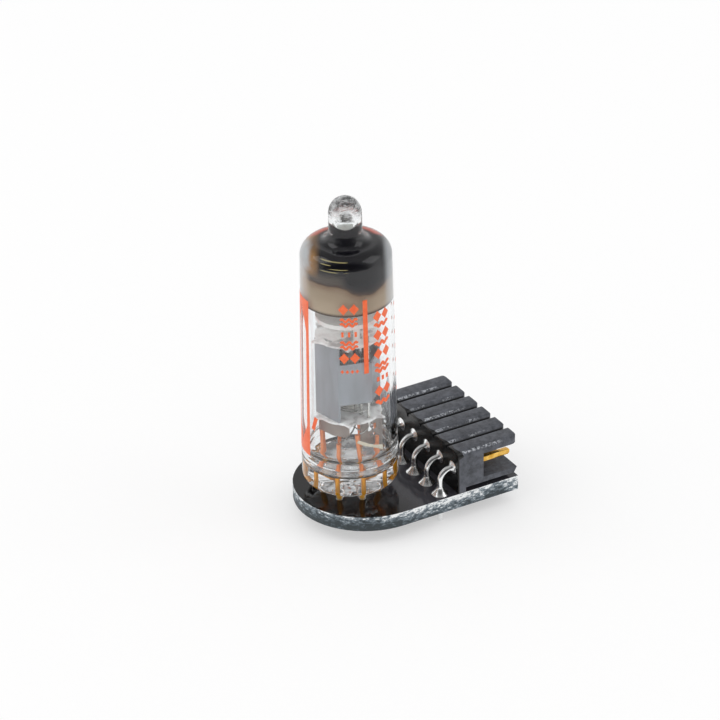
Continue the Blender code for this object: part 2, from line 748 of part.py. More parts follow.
def makeStrap(name, lead, end):
    """A ribbon that leaves a lead's top level and turns up to an electrode's lower end."""
    start = leadTop(lead) + Vector((0.0, 0.0, seatGap + strapSheet / 2))
    end = end - Vector((0.0, 0.0, seatGap))
    corner = Vector((end.x, end.y, start.z))
    path = []
    for share in np.linspace(0.0, 1.0, strapSteps + 1):
        path.append(start.lerp(corner, share).lerp(corner.lerp(end, share), share))
    flat = (corner - start).cross(Vector((0.0, 0.0, 1.0)))
    finish(name, swept(path, ribbonSection(strapWidth, strapSheet), flat), brightNickel)


makeBoard()
makeHeaderHousing()
for index, y in enumerate(wayPlaces):
    makeHeaderPin("header_pin_%d" % (index + 1), y)
    makeJoint("header_solder_%d" % (index + 1), (tailX, y, 0.0), pinRadius, topCone=True)
makeEnvelope()
makeStem()
for index, angle in enumerate(leadAngles):
    makeLead(index)
    makeJoint("lead_solder_%d" % (index + 1), onRing(leadRingRadius, angle), leadRadius, topCone=False)
makeMica("lower_mica", lowerMicaZ)
makeMica("upper_mica", upperMicaZ)
makeAnode()
makeCathode()
makeHeater()
makeGrid("control_grid", controlRodY, controlHalfWidth, controlTurns)
makeGrid("screen_grid", screenRodY, screenHalfWidth, screenTurns)
makeGrid("suppressor_grid", suppressorRodY, suppressorHalfWidth, suppressorTurns)
makeUpperShield()
makeLowerShield()
makeGetter()
makeStrap("suppressor_strap", 0, electrodePoint(0.0, -suppressorRodY, rodLow))
makeStrap("heater_strap_1", 1, electrodePoint(heaterHalfSpan, 0.0, heaterLow))
makeStrap("heater_strap_2", 5, electrodePoint(-heaterHalfSpan, 0.0, heaterLow))
makeStrap("control_strap", 7, electrodePoint(0.0, -controlRodY, rodLow))
makeStrap("screen_strap", 4, electrodePoint(0.0, screenRodY, rodLow))
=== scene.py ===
import math

import bmesh
import bpy
import numpy as np
from mathutils import Matrix, Vector


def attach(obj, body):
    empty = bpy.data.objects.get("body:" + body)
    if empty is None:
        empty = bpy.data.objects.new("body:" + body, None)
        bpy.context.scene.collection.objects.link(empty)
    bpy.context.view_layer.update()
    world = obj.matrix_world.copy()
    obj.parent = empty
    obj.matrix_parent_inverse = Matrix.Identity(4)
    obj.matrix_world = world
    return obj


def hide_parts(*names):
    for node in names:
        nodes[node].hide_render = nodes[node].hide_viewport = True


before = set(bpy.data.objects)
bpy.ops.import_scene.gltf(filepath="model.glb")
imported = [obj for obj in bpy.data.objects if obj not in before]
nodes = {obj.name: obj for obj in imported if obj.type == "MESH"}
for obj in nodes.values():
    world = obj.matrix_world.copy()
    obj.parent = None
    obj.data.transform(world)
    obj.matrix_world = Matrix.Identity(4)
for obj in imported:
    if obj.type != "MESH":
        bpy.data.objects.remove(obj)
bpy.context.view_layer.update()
mm = 0.001
print("frame loaded:", len(nodes), "nodes")

# Places shared by several pieces, in millimetres in the row frame
boardTop = 1.6
glassFoot = 2.7          # underside of the pressed glass dish
dishFloor = 4.55         # inner floor of the dish
seal = 5.9               # where the bulb was fused to the dish's rim
spacerUnderside = 10.53  # of the lower mica
shoulder = 28.1          # end of the straight bulb wall
baseRadius = 4.9
topRadius = 4.6
wall = 0.62
wireEnd = -1.5           # the part stands on the ends of its wires
leadRing = 3.05
leadRingInGlass = 2.86   # the leads lean in on their way up to the glass
leadAngles = [-97.0 + 45.0 * index for index in range(8)]
viewAngle = -119.5       # degrees round Z of the side that the photograph faces
ways = 6
pitch = 2.54
wayPlaces = [(index - (ways - 1) / 2) * pitch for index in range(ways)]
seamGap = 0.01           # between two surfaces that touch


def grey(value):
    return (value, value, value, 1.0)


def linear(hexColour):
    # sRGB hex to linear: the lower part is a straight line, the rest a power of 2.4
    digits = hexColour.lstrip("#")
    part = np.array([int(digits[i:i + 2], 16) for i in (0, 2, 4)]) / 255.0
    part = np.where(part <= 0.04045, part / 12.92, ((part + 0.055) / 1.055) ** 2.4)
    return (*part.tolist(), 1.0)


def setNode(node, *sockets, **settings):
    # sockets in their order, None leaves one as it is. Settings are attributes, or sockets with _
    # for a space. A value is plain, or another node, linked from its first output, or (node, output).
    for key, value in [*settings.items(), *enumerate(sockets)]:
        isPair = isinstance(value, tuple) and isinstance(value[0], bpy.types.Node)
        source, output = value if isPair else (value, 0)
        if isinstance(key, str) and hasattr(node, key):
            setattr(node, key, value)
        elif value is not None:
            socket = node.inputs[key.replace("_", " ") if isinstance(key, str) else key]
            if isinstance(source, bpy.types.Node):
                node.id_data.links.new(source.outputs[output], socket)
            else:
                socket.default_value = value
    return node


def addNode(tree, kind, *sockets, **settings):
    return setNode(tree.nodes.new("ShaderNode" + kind), *sockets, **settings)


def addRamp(tree, source, stops):
    # a colour ramp whose stops are (place, hex colour or grey value)
    ramp = addNode(tree, "ValToRGB", source)
    elements = ramp.color_ramp.elements
    while len(elements) < len(stops):
        elements.new(0.5)
    for element, (place, colour) in zip(elements, stops):
        element.position = place
        element.color = linear(colour) if isinstance(colour, str) else grey(colour)
    return ramp


def product(tree, first, *others):
    for other in others:
        first = addNode(tree, "Math", first, other, operation="MULTIPLY")
    return first


def faded(tree, *fades):
    # a mask that is the product of smooth fades. Each is (what is measured, mm where it is 0,
    # mm where it is full, and how strong it is there if that isn't 1).
    masks = [addNode(tree, "MapRange", measure, none * mm, full * mm, interpolation_type="SMOOTHSTEP",
                     To_Max=most[0] if most else 1.0) for measure, none, full, *most in fades]
    return product(tree, *masks)


def painted(tree, colour, *layers):
    # the colour under each layer of (mask, colour) in turn. A mix node's sockets 6 and 7 and its
    # output 2 are its colours.
    for mask, over in layers:
        over = linear(over) if isinstance(over, str) else over
        colour = (addNode(tree, "Mix", mask, *[None] * 5, colour, over, data_type="RGBA"), 2)
    return colour


def newMaterial(name):
    # with its node tree, its shader, the object coordinates and those coordinates one by one
    material = bpy.data.materials.new(name)
    material.use_nodes = True
    tree = material.node_tree
    place = (addNode(tree, "TexCoord"), "Object")
    split = addNode(tree, "SeparateXYZ", place)
    return material, tree, tree.nodes["Principled BSDF"], place, [(split, axis) for axis in "XYZ"]


def makeGrained(name, scale, detail, stops, roughness, metallic=0.0, bump=None, stretch=1.0):
    # one noise that colours the surface by its stops and lifts it by bump = (strength, mm).
    # stretch under 1 draws the noise out along Z.
    material, tree, shader, place, _ = newMaterial(name)
    drawn = addNode(tree, "Mapping", place, Scale=(1.0, 1.0, stretch))
    grain = addNode(tree, "TexNoise", drawn, Scale=scale, Detail=detail)
    setNode(shader, Base_Color=addRamp(tree, grain, stops), Roughness=roughness, Metallic=metallic)
    if bump:
        setNode(shader, Normal=addNode(tree, "Bump", Strength=bump[0], Distance=bump[1] * mm, Height=grain))
    return material


# Surfaces

def asPoints(*parts):
    # coordinates side by side in the last axis, each repeated to the shape of the fullest
    return np.stack(np.broadcast_arrays(*parts), axis=-1)


def unit(vectors):
    return vectors / np.linalg.norm(vectors, axis=-1, keepdims=True)


def circle(sides, start=0.0):
    # (cos a, sin a) once round, without the last point
    angle = start + np.linspace(0, 2 * math.pi, sides, endpoint=False)
    return asPoints(np.cos(angle), np.sin(angle))


def arcPoints(centre, radius, start, end, count):
    # centre + radius (cos a, sin a), with a from start to end in degrees
    angle = np.radians(np.linspace(start, end, count))
    return asPoints(centre[0] + radius * np.cos(angle), centre[1] + radius * np.sin(angle))


def onRing(radius, degrees, z=0.0):
    return np.array([radius * math.cos(math.radians(degrees)), radius * math.sin(math.radians(degrees)), z])


def fromView(across, depth, z):
    # across is to the right and depth towards the eye, as the tube is seen in the photograph
    a = math.radians(viewAngle)
    across, depth = np.asarray(across, float), np.asarray(depth, float)
    return asPoints(depth * math.cos(a) - across * math.sin(a), depth * math.sin(a) + across * math.cos(a), z)


def waves(x, y, z, length):
    # unevenness of flame-worked or sprayed surfaces: a sum of four sine waves of different
    # directions, within -1 and 1, with the longest one about as long as length
    k = 2 * math.pi / length
    return (0.40 * np.sin(k * (0.9 * x + 0.4 * y) + 0.7) + 0.30 * np.sin(k * (1.5 * y - 0.8 * z) + 2.1)
            + 0.20 * np.sin(k * (1.9 * x - 1.3 * y + 1.1 * z) + 4.0) + 0.10 * np.sin(k * 3.1 * (x + z) + 1.2))


def smoothPath(points, count):
    # a curve through the points: each coordinate is a cubic Hermite blend of the points and
    # slopes at both ends of its run, h00 p0 + h10 m0 + h01 p1 + h11 m1
    points = np.asarray(points, float)
    place = np.r_[0, np.cumsum(np.linalg.norm(np.diff(points, axis=0), axis=1))]
    slope = np.gradient(points, place, axis=0)
    where = np.linspace(0, place[-1], count)
    k = np.clip(np.searchsorted(place, where, side="right") - 1, 0, len(place) - 2)
    step = (place[k + 1] - place[k])[:, None]
    t = ((where - place[k]) / step[:, 0])[:, None]
    return ((2 * t ** 3 - 3 * t ** 2 + 1) * points[k] + (t ** 3 - 2 * t ** 2 + t) * step * slope[k]
            + (3 * t ** 2 - 2 * t ** 3) * points[k + 1] + (t ** 3 - t ** 2) * step * slope[k + 1])


def gridQuads(index, wrapU, wrapV):
    # quads between neighbours in a grid of vertex numbers
    down = np.roll(index, -1, axis=0) if wrapU else index[1:]
    upper = index if wrapU else index[:-1]
    quads = np.stack([upper, np.roll(upper, -1, axis=1), np.roll(down, -1, axis=1), down], axis=-1)
    return (quads if wrapV else quads[:, :-1]).reshape(-1, 4).tolist()


def newMesh(verts, faces):
    mesh = bpy.data.meshes.new("surface")
    mesh.from_pydata((verts * mm).tolist(), [], faces)
    return mesh


def gridMesh(points, wrapU=False, wrapV=False, capped=False):
    # points is (rows, columns, 3) in mm. Rows run along u, columns along v. Caps close the first
    # and last row with a fan to its mean point.
    verts = points.reshape(-1, 3)
    index = np.arange(len(verts)).reshape(points.shape[:2])
    faces = gridQuads(index, wrapU, wrapV)
    if capped:
        for ring in (index[0, ::-1], index[-1]):
            fan = np.stack([ring, np.roll(ring, -1), np.full(len(ring), len(verts))], axis=-1)
            faces += fan.tolist()
            verts = np.vstack([verts, verts[ring].mean(axis=0)])
    return newMesh(verts, faces)


def turned(profile, segments, centre=(0.0, 0.0), closed=False):
    # P(u, v) = (r(v) cos u, r(v) sin u, z(v)): a profile of (r, z) points turned round an axis
    # parallel to Z. An open profile is capped where it starts and ends.
    ring = circle(segments)
    spots = np.asarray(profile)[:, None, :1] * ring + centre
    return gridMesh(asPoints(spots[..., 0], spots[..., 1], profile[:, 1:]), closed, True, not closed)


def swept(path, section, side=(0.0, 1.0, 0.0)):
    # P(u, v) = path(u) + a(u, v) across(u) + b(u, v) up(u), with section holding (a, b). across
    # is the side vector made square to the path, up is square to both.
    along = unit(np.gradient(path, axis=0))
    side = np.broadcast_to(side, along.shape)
    across = unit(side - along * (side * along).sum(axis=1, keepdims=True))
    up = np.cross(along, across)
    section = np.broadcast_to(section, (len(path),) + np.shape(section)[-2:])
    points = path[:, None] + section[..., :1] * across[:, None] + section[..., 1:] * up[:, None]
    return gridMesh(points, wrapV=True, capped=True)


def readSpots(mesh):
    # the vertices' places in mm
    spots = np.zeros(len(mesh.vertices) * 3)
    mesh.vertices.foreach_get("co", spots)
    return spots.reshape(-1, 3) / mm


def writeSpots(mesh, spots):
    mesh.vertices.foreach_set("co", (spots * mm).ravel())


def faceOut(mesh, inward=False):
    bm = bmesh.new()
    bm.from_mesh(mesh)
    bmesh.ops.recalc_face_normals(bm, faces=bm.faces[:])
    if inward:
        bmesh.ops.reverse_faces(bm, faces=bm.faces[:])
    bm.to_mesh(mesh)
    bm.free()


def placed(name, data):
    data.name = name
    obj = bpy.data.objects.new(name, data)
    bpy.context.scene.collection.objects.link(obj)
    return obj


def addPiece(name, mesh, material, replaced=()):
    mesh.validate()
    faceOut(mesh)
    mesh.shade_smooth()
    mesh.set_sharp_from_angle(angle=math.radians(40))
    for each in material if isinstance(material, list) else [material]:
        mesh.materials.append(each)
    obj = placed(name, mesh)
    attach(obj, "root")
    if replaced:
        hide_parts(*replaced)
    return obj


def paintNode(names, material):
    for name in names:
        nodes[name].data.materials.clear()
        nodes[name].data.materials.append(material)


def refined(name, node, material, bevelWidth, segments=2, ragged=0.0):
    # the node's own solid, merged back to flat faces, with its edges rounded. A ragged one is cut
    # up finely and each point moves by waves * ragged.
    mesh = nodes[node].data.copy()
    mesh.materials.clear()
    bm = bmesh.new()
    bm.from_mesh(mesh)
    bmesh.ops.remove_doubles(bm, verts=bm.verts[:], dist=0.0005 * mm)
    bmesh.ops.dissolve_limit(bm, angle_limit=math.radians(0.5), verts=bm.verts[:], edges=bm.edges[:])
    if ragged:
        for fineness in (1.6, 0.8, 0.4, 0.25):
            bmesh.ops.triangulate(bm, faces=bm.faces[:])
            coarse = [edge for edge in bm.edges if edge.calc_length() > fineness * mm]
            bmesh.ops.subdivide_edges(bm, edges=coarse, cuts=1)
        bmesh.ops.triangulate(bm, faces=bm.faces[:])
    bm.to_mesh(mesh)
    bm.free()
    if ragged:
        spots = readSpots(mesh)
        x, y, z = spots.T
        moves = asPoints(waves(y, z, x, 1.1), waves(z, x, y, 1.0), waves(x, y, z, 1.3))
        writeSpots(mesh, spots + moves * ragged)
    obj = addPiece(name, mesh, material, replaced=(node,))
    bevel = obj.modifiers.new("edges", "BEVEL")
    bevel.width = bevelWidth * mm
    bevel.segments = segments
    bevel.limit_method = "ANGLE"
    bevel.angle_limit = math.radians(40)
    bevel.harden_normals = False
    return obj


# Glass: soda-lime bulb and pressed button, fire-polished. Clear, a faint cool tint in the
# thick button, sharp highlights.

def makeClearGlass():
    material, tree, shader, place, (_, _, z) = newMaterial("fire_polished_glass")
    # drawn glass is never quite even: long, weak waves along the bulb
    stretch = addNode(tree, "Mapping", place, Scale=(1.0, 1.0, 0.18))
    uneven = addNode(tree, "TexNoise", stretch, Scale=260.0, Detail=1.0)
    bump = addNode(tree, "Bump", Strength=0.10, Distance=0.05 * mm, Height=uneven)
    # the sealed tip stayed rough and streaky from the flame, and dull and whitish in patches
    tip = faded(tree, (z, 31.9, 33.2))
    drawn = addNode(tree, "Mapping", place, Scale=(1.0, 1.0, 2.2))
    streaks = addNode(tree, "TexNoise", drawn, Scale=1300.0, Detail=4.0, Roughness=0.65)
    rough = product(tree, tip, addRamp(tree, streaks, [(0.42, 0.12), (0.60, 0.60)]))
    dull = product(tree, tip, addRamp(tree, streaks, [(0.38, 0.05), (0.60, 0.34)]))
    crust = product(tree, tip, streaks)
    bump = addNode(tree, "Bump", Strength=0.8, Distance=0.16 * mm, Height=crust, Normal=bump)
    # painted light: in patches the dish's floor inside the bulb is painted cloudy white, standing in for the
    # glints of light seen on it
    flat = addNode(tree, "VectorMath", place, (1.0, 1.0, 0.0), operation="MULTIPLY")
    away = (addNode(tree, "VectorMath", flat, operation="LENGTH"), "Value")
    height = addNode(tree, "MapRange", z, 4.0 * mm, 5.2 * mm)
    onFloor = addRamp(tree, height, [(0.15, 0.0), (0.25, 1.0), (0.65, 1.0), (0.85, 0.0)])
    grain = addNode(tree, "TexNoise", place, Scale=700.0, Detail=3.0)
    paintedGlintPatches = addRamp(tree, grain, [(0.40, 0.15), (0.62, 0.55)])
    paintedFloorGlints = product(tree, faded(tree, (away, 4.1, 3.6)), onFloor, paintedGlintPatches)
    cloudy = addNode(tree, "Math", dull, paintedFloorGlints, operation="MAXIMUM")
    clearness = addNode(tree, "Math", 1.0, cloudy, operation="SUBTRACT")
    setNode(shader, Base_Color=linear("#f8fafb"), IOR=1.50, Roughness=rough, Transmission_Weight=clearness,
            Normal=bump)
    # light reaches the parts inside through the glass
    clear = addNode(tree, "BsdfTransparent", Color=linear("#fbfcfc"))
    path = addNode(tree, "LightPath")
    either = addNode(tree, "Math", (path, "Is Shadow Ray"), (path, "Is Diffuse Ray"), operation="MAXIMUM")
    mix = addNode(tree, "MixShader", either, shader, clear)
    setNode(tree.nodes["Material Output"], Surface=mix)
    return material


bulb = {
    "segments": 320,
    "shoulderRadius": 1.6,
    "neckBase": 2.78,
    "neckRise": 1.35,
    "tipRadius": 1.74,
    "tipLength": 3.0,        # shoulder top to the centre of the round end
    "boreRadius": 0.80,
    "boreEnd": 0.50,         # end of the bore under the centre of the round end
    "boreCorner": 0.45,
    "boreRise": 0.55,        # the bore's funnel ends at this share of the neck's rise
    "footEdge": 0.95,        # rounding of the dish's lower edge
    "footDish": 0.70,        # how far the underside is hollowed at its middle
    "floorBowl": 0.30,       # how far the dish's floor rises from its middle to its edge
    "beadRadius": 0.56,
    "beadFoot": boardTop + 0.02,
    "moundHeight": 0.22,     # glass drawn up round each lead on the dish's floor
    "moundRadius": 0.50 / 1.8,
    "moundReach": 0.6,
    "fillet": 0.55,          # inner corner between the floor and the wall
    "crownFrom": 0.6,        # over the shoulder's top, where the tip starts to be uneven
    "pole": 0.05,            # radius of the first ring round the axis
    # the fused seam: (height, relief, half width) of each ring
    "seamOutside": [(5.92, -0.055, 0.10), (6.30, 0.035, 0.20), (6.86, -0.030, 0.12)],
    "seamInside": [(6.35, -0.26, 0.38), (7.30, 0.05, 0.30)],
}
domeTop = shoulder + bulb["shoulderRadius"]
boreTop = domeTop + bulb["tipLength"] - bulb["boreEnd"]


def bulbRadius(z):
    # straight taper from the seam to the shoulder
    share = np.clip((np.asarray(z, float) - seal) / (shoulder - seal), 0.0, 1.0)
    return baseRadius + (topRadius - baseRadius) * share


def seam(z, rings):
    # a sum of smooth rings, each relief * exp(-((z - height) / width)^2)
    return sum(relief * np.exp(-((z - height) / width) ** 2) for height, relief, width in rings)


def leadDistance(x, y):
    # distance to the nearest lead's axis
    centres = [onRing(leadRingInGlass, degrees) for degrees in leadAngles]
    return np.min([np.hypot(x - centre[0], y - centre[1]) for centre in centres], axis=0)


def neckRun(turn, inner, outer, low, rise):
    # a quarter turn of an ellipse: r = inner + (outer - inner) (1 - sin t), z = low + rise (1 - cos t)
    return asPoints(inner + (outer - inner) * (1 - np.sin(turn)), low + rise * (1 - np.cos(turn)))


def outerProfile():
    # up the wall, finer at the seam, over the shoulder and the neck, and round the tip
    fineTop = 7.4
    wallZ = np.r_[np.linspace(glassFoot + bulb["footEdge"], fineTop, 64)[:-1],
                  np.linspace(fineTop, shoulder, 40)]
    wallRun = asPoints(bulbRadius(wallZ) + seam(wallZ, bulb["seamOutside"]), wallZ)
    bend = arcPoints((topRadius - bulb["shoulderRadius"], shoulder), bulb["shoulderRadius"], 0, 90, 20)
    neck = neckRun(np.linspace(0.10, math.pi / 2, 16), bulb["tipRadius"], bulb["neckBase"], domeTop,
                   bulb["neckRise"])
    end = arcPoints((0.0, domeTop + bulb["tipLength"]), bulb["tipRadius"], 0, 88, 24)
    return np.vstack([wallRun, bend[1:], neck, end])


def footProfile():
    # rings of the underside from the axis out, dense where the beads stand, then the round edge
    dense, gap = 0.66, 0.04
    rim = baseRadius - bulb["footEdge"]
    radius = np.r_[np.linspace(bulb["pole"], leadRingInGlass - dense - gap, 16),
                   np.linspace(leadRingInGlass - dense, leadRingInGlass + dense, 36),
                   np.linspace(leadRingInGlass + dense + gap, rim - 0.03, 6)]
    corner = arcPoints((rim, glassFoot + bulb["footEdge"]), bulb["footEdge"], -90, 0, 16)
    height = glassFoot + bulb["footDish"] * (1 - (radius / rim) ** 2) ** 2
    return np.vstack([asPoints(radius, height), corner[:-1]])


def innerProfile():
    # the cavity from the middle of the dish's floor up the wall, round the shoulder and into
    # the tip's bore
    fineTop, dense = 8.0, 0.54
    f = bulb["fillet"]
    edge = baseRadius - wall - f
    floorRun = np.r_[np.linspace(bulb["pole"], leadRingInGlass - dense - 0.06, 16),
                     np.linspace(leadRingInGlass - dense, leadRingInGlass + dense, 28),
                     np.linspace(leadRingInGlass + dense + 0.04, edge - 0.03, 5)]
    floorRun = asPoints(floorRun, dishFloor + bulb["floorBowl"] * ((floorRun / edge) ** 2 - 0.5))
    fillet = arcPoints((edge, floorRun[-1, 1] + f), f, -80, 0, 12)
    wallZ = np.r_[np.linspace(fillet[-1, 1], fineTop, 48)[1:-1], np.linspace(fineTop, shoulder, 36)]
    wallRun = asPoints(bulbRadius(wallZ) - wall + seam(wallZ, bulb["seamInside"]), wallZ)
    bend = arcPoints((topRadius - bulb["shoulderRadius"], shoulder), bulb["shoulderRadius"] - wall, 0, 90, 14)
    rise = domeTop + bulb["neckRise"] * bulb["boreRise"] - bend[-1, 1]
    neck = neckRun(np.linspace(0.0, math.pi / 2, 16)[1:], bulb["boreRadius"], bend[-1, 0], bend[-1, 1], rise)
    corner = bulb["boreCorner"]
    boreWall = asPoints(bulb["boreRadius"], np.linspace(neck[-1, 1], boreTop - corner, 10)[1:-1])
    rim = arcPoints((bulb["boreRadius"] - corner, boreTop - corner), corner, 0, 90, 8)
    flat = asPoints(np.linspace(rim[-1, 0], bulb["pole"], 7)[1:], boreTop)
    return np.vstack([floorRun, fillet[:-1], wallRun, bend[1:], neck, boreWall, rim, flat])


def turnedSkin(profile, low, reach, shape, floorRipple, tipRipple):
    # a turned profile whose points under the height low are moved up by shape(distance to the
    # nearest lead, height) within reach of a lead. It ripples by waves: up and down under low,
    # in and out round the tip.
    ring = circle(bulb["segments"])
    x = profile[:, :1] * ring[:, 0]
    y = profile[:, :1] * ring[:, 1]
    z = np.repeat(profile[:, 1:], bulb["segments"], axis=1)
    near = leadDistance(x, y)
    flat = np.clip((low - z) * 20, 0, 1)
    calm = np.clip((near - reach) / 0.3, 0, 1)
    uneven = flat * calm * floorRipple * waves(x, y, z, 1.6)
    z = np.where((z < low) & (near < reach), z + shape(near, z), z) + uneven
    crown = np.clip((z - domeTop - bulb["crownFrom"]) / 1.2, 0, 1)
    swell = 1 - crown * tipRipple * (0.5 - 0.5 * waves(x, y, z, 2.1))
    return gridMesh(asPoints(x * swell, y * swell, z), wrapV=True, capped=True)


def makeGlass():
    # one fused body: the outer skin with a bead under each lead, and the cavity's own skin
    # with a mound over each lead
    def bead(near, z):
        # down to the bead's foot: (foot - z) sqrt(1 - (d / R)^6)
        return (bulb["beadFoot"] - z) * np.clip(1 - (near / bulb["beadRadius"]) ** 6, 0, 1) ** 0.5

    def mound(near, z):
        # up by h exp(-(d / r)^2)
        return bulb["moundHeight"] * np.exp(-(near / bulb["moundRadius"]) ** 2)

    skin = turnedSkin(np.vstack([footProfile(), outerProfile()]),
                      glassFoot + bulb["footDish"] + 0.02, bulb["beadRadius"], bead, 0.015, 0.07)
    hollow = turnedSkin(innerProfile(), dishFloor + bulb["floorBowl"] / 2 + 0.01,
                        bulb["moundReach"], mound, 0.06, 0.15)
    whole = bmesh.new()
    for mesh, inward in ((skin, False), (hollow, True)):
        faceOut(mesh, inward)
        whole.from_mesh(mesh)
    whole.to_mesh(skin)
    whole.free()
    bpy.data.meshes.remove(hollow)
    skin.shade_smooth()
    skin.materials.append(makeClearGlass())
    obj = placed("glass_bulb", skin)
    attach(obj, "root")
    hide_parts("glass_envelope", "glass_stem")


makeGlass()
print("glass made")


# Getter film: barium flashed on the inside of the bulb. A near-black mirror where it is thick,
# brown then tan where it thins out towards its lower edge.

film = {
    "segments": 144,
    "low": 23.3,
    "high": 31.36,           # how far it climbs inside the neck, on the viewed side
    "climb": 0.36,           # how much further it climbs on the far side
    "climbFrom": 0.5,        # under the upper edge, where that tilt starts
    "overlap": 0.012,        # sunk this far in the glass, so that it is seen in full contact
    "thickness": 0.024,
    "coreRadius": 0.50,      # residue over the end of the tip's bore
    "coreThickness": 0.40,
    "coreLift": 0.03,
    # height of the border between tan and black, from the left side (0) to the right one (1)
    "border": [(0.0, 26.6), (0.30, 26.8), (0.44, 26.7), (0.56, 26.0), (0.69, 25.6), (0.80, 25.7),
               (0.90, 26.0), (1.0, 26.3)],
    "borderSpan": 5.0,
    "rowPitch": 0.26,        # of the golden streaks
}


def makeFilmMaterial():
    material, tree, shader, place, (_, _, z) = newMaterial("flashed_barium")
    # distances to the right and away, as the tube is seen from its marked side
    side = math.radians(viewAngle + 90)
    across, back = ((addNode(tree, "VectorMath", place, way, operation="DOT_PRODUCT"), "Value")
                    for way in ((math.cos(side), math.sin(side), 0.0),
                                (-math.sin(side), math.cos(side), 0.0)))
    # the border's height over the film's lower edge falls to the right and rises again at the side
    span = film["borderSpan"]
    sideways = addNode(tree, "MapRange", across, -4.0 * mm, 4.0 * mm)
    fall = addRamp(tree, sideways,
                   [(share, (height - film["low"]) / span) for share, height in film["border"]])
    fall.color_ramp.interpolation = "B_SPLINE"
    swirl = addNode(tree, "Mapping", place, Scale=(1.0, 1.0, 2.0))
    wavy = addNode(tree, "TexNoise", swirl, Scale=520.0, Detail=4.0, Roughness=0.6)
    border = addNode(tree, "Math", fall, span * mm, (film["low"] - 0.45) * mm, operation="MULTIPLY_ADD")
    border = addNode(tree, "Math", wavy, 0.9 * mm, border, operation="MULTIPLY_ADD")
    over = addNode(tree, "Math", z, border, operation="SUBTRACT")
    depth = addNode(tree, "MapRange", over, -3.4 * mm, 1.6 * mm)
    thick = addRamp(tree, depth, [(0.10, "#ab9983"), (0.50, "#95836d"), (0.63, "#7d6650"),
                                  (0.665, "#47352b"), (0.74, "#1f1b1d"), (0.88, "#07060d")])
    # on the left the black starts as a thin smoke and ends short of the side, where tan climbs
    smoke = faded(tree, (across, 0.3, -1.0), (z, 28.2, 27.2), (over, -0.05, 0.10))
    tan = faded(tree, (across, -3.2, -3.9), (z, 27.9, 27.1))
    # painted reflection: a few short golden streaks on the thick film, standing in for the lamps' reflections
    phase = addNode(tree, "Math", z, 2 * math.pi / (film["rowPitch"] * mm), operation="MULTIPLY")
    rows = addRamp(tree, addNode(tree, "Math", phase, operation="SINE"), [(0.55, 0.0), (0.95, 1.0)])
    run = addRamp(tree, sideways, [(0.19, 0.0), (0.23, 1.0), (0.49, 1.0), (0.53, 0.0)])
    ends = [addNode(tree, "MapRange", z, none * mm, full * mm)
            for none, full in ((27.9, 28.05), (29.0, 28.9))]
    level = addNode(tree, "Mapping", place, Scale=(0.6, 0.6, 4.0))
    broken = addNode(tree, "TexNoise", level, Scale=900.0, Detail=2.0)
    paintedLampStreaks = product(tree, rows, run, *ends, addRamp(tree, broken, [(0.47, 0.0), (0.56, 0.85)]))
    # the thin rim of the film, and the brown haze at its left edge over the black
    rim = addNode(tree, "MapRange", z, (film["low"] + 0.35) * mm, (film["low"] + 0.05) * mm)
    lowDown = faded(tree, (z, 26.9, 27.9))
    haze = product(tree, faded(tree, (across, -2.35, -3.1), (z, 29.4, 28.8, 1.6)), lowDown, wavy)
    # painted reflection: at both sides the film is painted pale grey, standing in for the bright reflections
    # at the bulb's edges, wider and more uneven on the left
    reach = addNode(tree, "Math", lowDown, -0.45 * mm, across, operation="MULTIPLY_ADD")
    reach = addNode(tree, "Math", wavy, 1.1 * mm, reach, operation="MULTIPLY_ADD")
    paintedEdgeReflection = addNode(tree, "Math", faded(tree, (reach, -2.95, -3.75, 0.9)),
                    faded(tree, (across, 3.35, 3.9, 0.65)), operation="MAXIMUM")
    # a thin rust-red crescent on top of the shoulder, on the side away from the marks
    crest = addNode(tree, "MapRange", z, 28.2 * mm, 29.2 * mm)
    crescent = addRamp(tree, crest, [(0.42, 0.0), (0.56, 1.0), (0.82, 1.0), (0.90, 0.0)])
    rust = product(tree, faded(tree, (back, 1.2, 2.0)), crescent)
    colour = painted(tree, thick, (smoke, "#4c443e"), (tan, "#b3a294"), (paintedLampStreaks, "#b7aa72"), (rim, "#3a3029"),
                     (haze, "#9a7040"), (paintedEdgeReflection, "#b4b7ba"), (rust, "#b5523f"))
    # fused to the glass it has little gloss of its own
    setNode(shader, Base_Color=colour, Roughness=0.22, IOR=1.28)
    return material


def makeFilm():
    # the cavity's profile from the film's lower edge into the neck, as a thin closed shell
    low, high = film["low"], film["high"]
    run = innerProfile()
    run = run[(run[:, 1] >= low - 0.6) & (run[:, 1] <= high)]
    run = run[np.argmax(run[:, 0] > 1.0):]
    edge = [np.interp(low, [seal, shoulder], [baseRadius, topRadius]) - wall, low]
    run = np.vstack([edge, run[run[:, 1] > low]])
    along = np.gradient(run, axis=0)
    outward = unit(asPoints(along[:, 1], -along[:, 0]))
    outer = run + outward * film["overlap"]
    profile = np.vstack([outer, (outer - outward * film["thickness"])[::-1]])
    mesh = turned(profile, film["segments"], closed=True)
    # the upper edge dips towards the viewed side: z grows by climb * (1 - cos(turn from there)),
    # up to climb
    spots = readSpots(mesh)
    turn = np.arctan2(spots[:, 1], spots[:, 0]) - math.radians(viewAngle)
    share = np.clip((spots[:, 2] - high + film["climbFrom"]) / film["climbFrom"], 0, 1)
    spots[:, 2] += share * film["climb"] * np.minimum(1 - np.cos(turn), 1)
    writeSpots(mesh, spots)
    # the film's inner face is pale satin metal, so it throws light back on what stands under it
    mirror = makeGrained("barium_mirror", 500.0, 2.0, [(0.35, "#f0eeea"), (0.65, "#fbfaf7")], 0.60, 0.2)
    addPiece("getter_film", mesh, [makeFilmMaterial(), mirror])
    row = np.arange(len(mesh.polygons)) // film["segments"]
    inner = (row >= len(run)) & (row < 2 * len(run) - 1)
    mesh.polygons.foreach_set("material_index", inner.astype(np.int32))


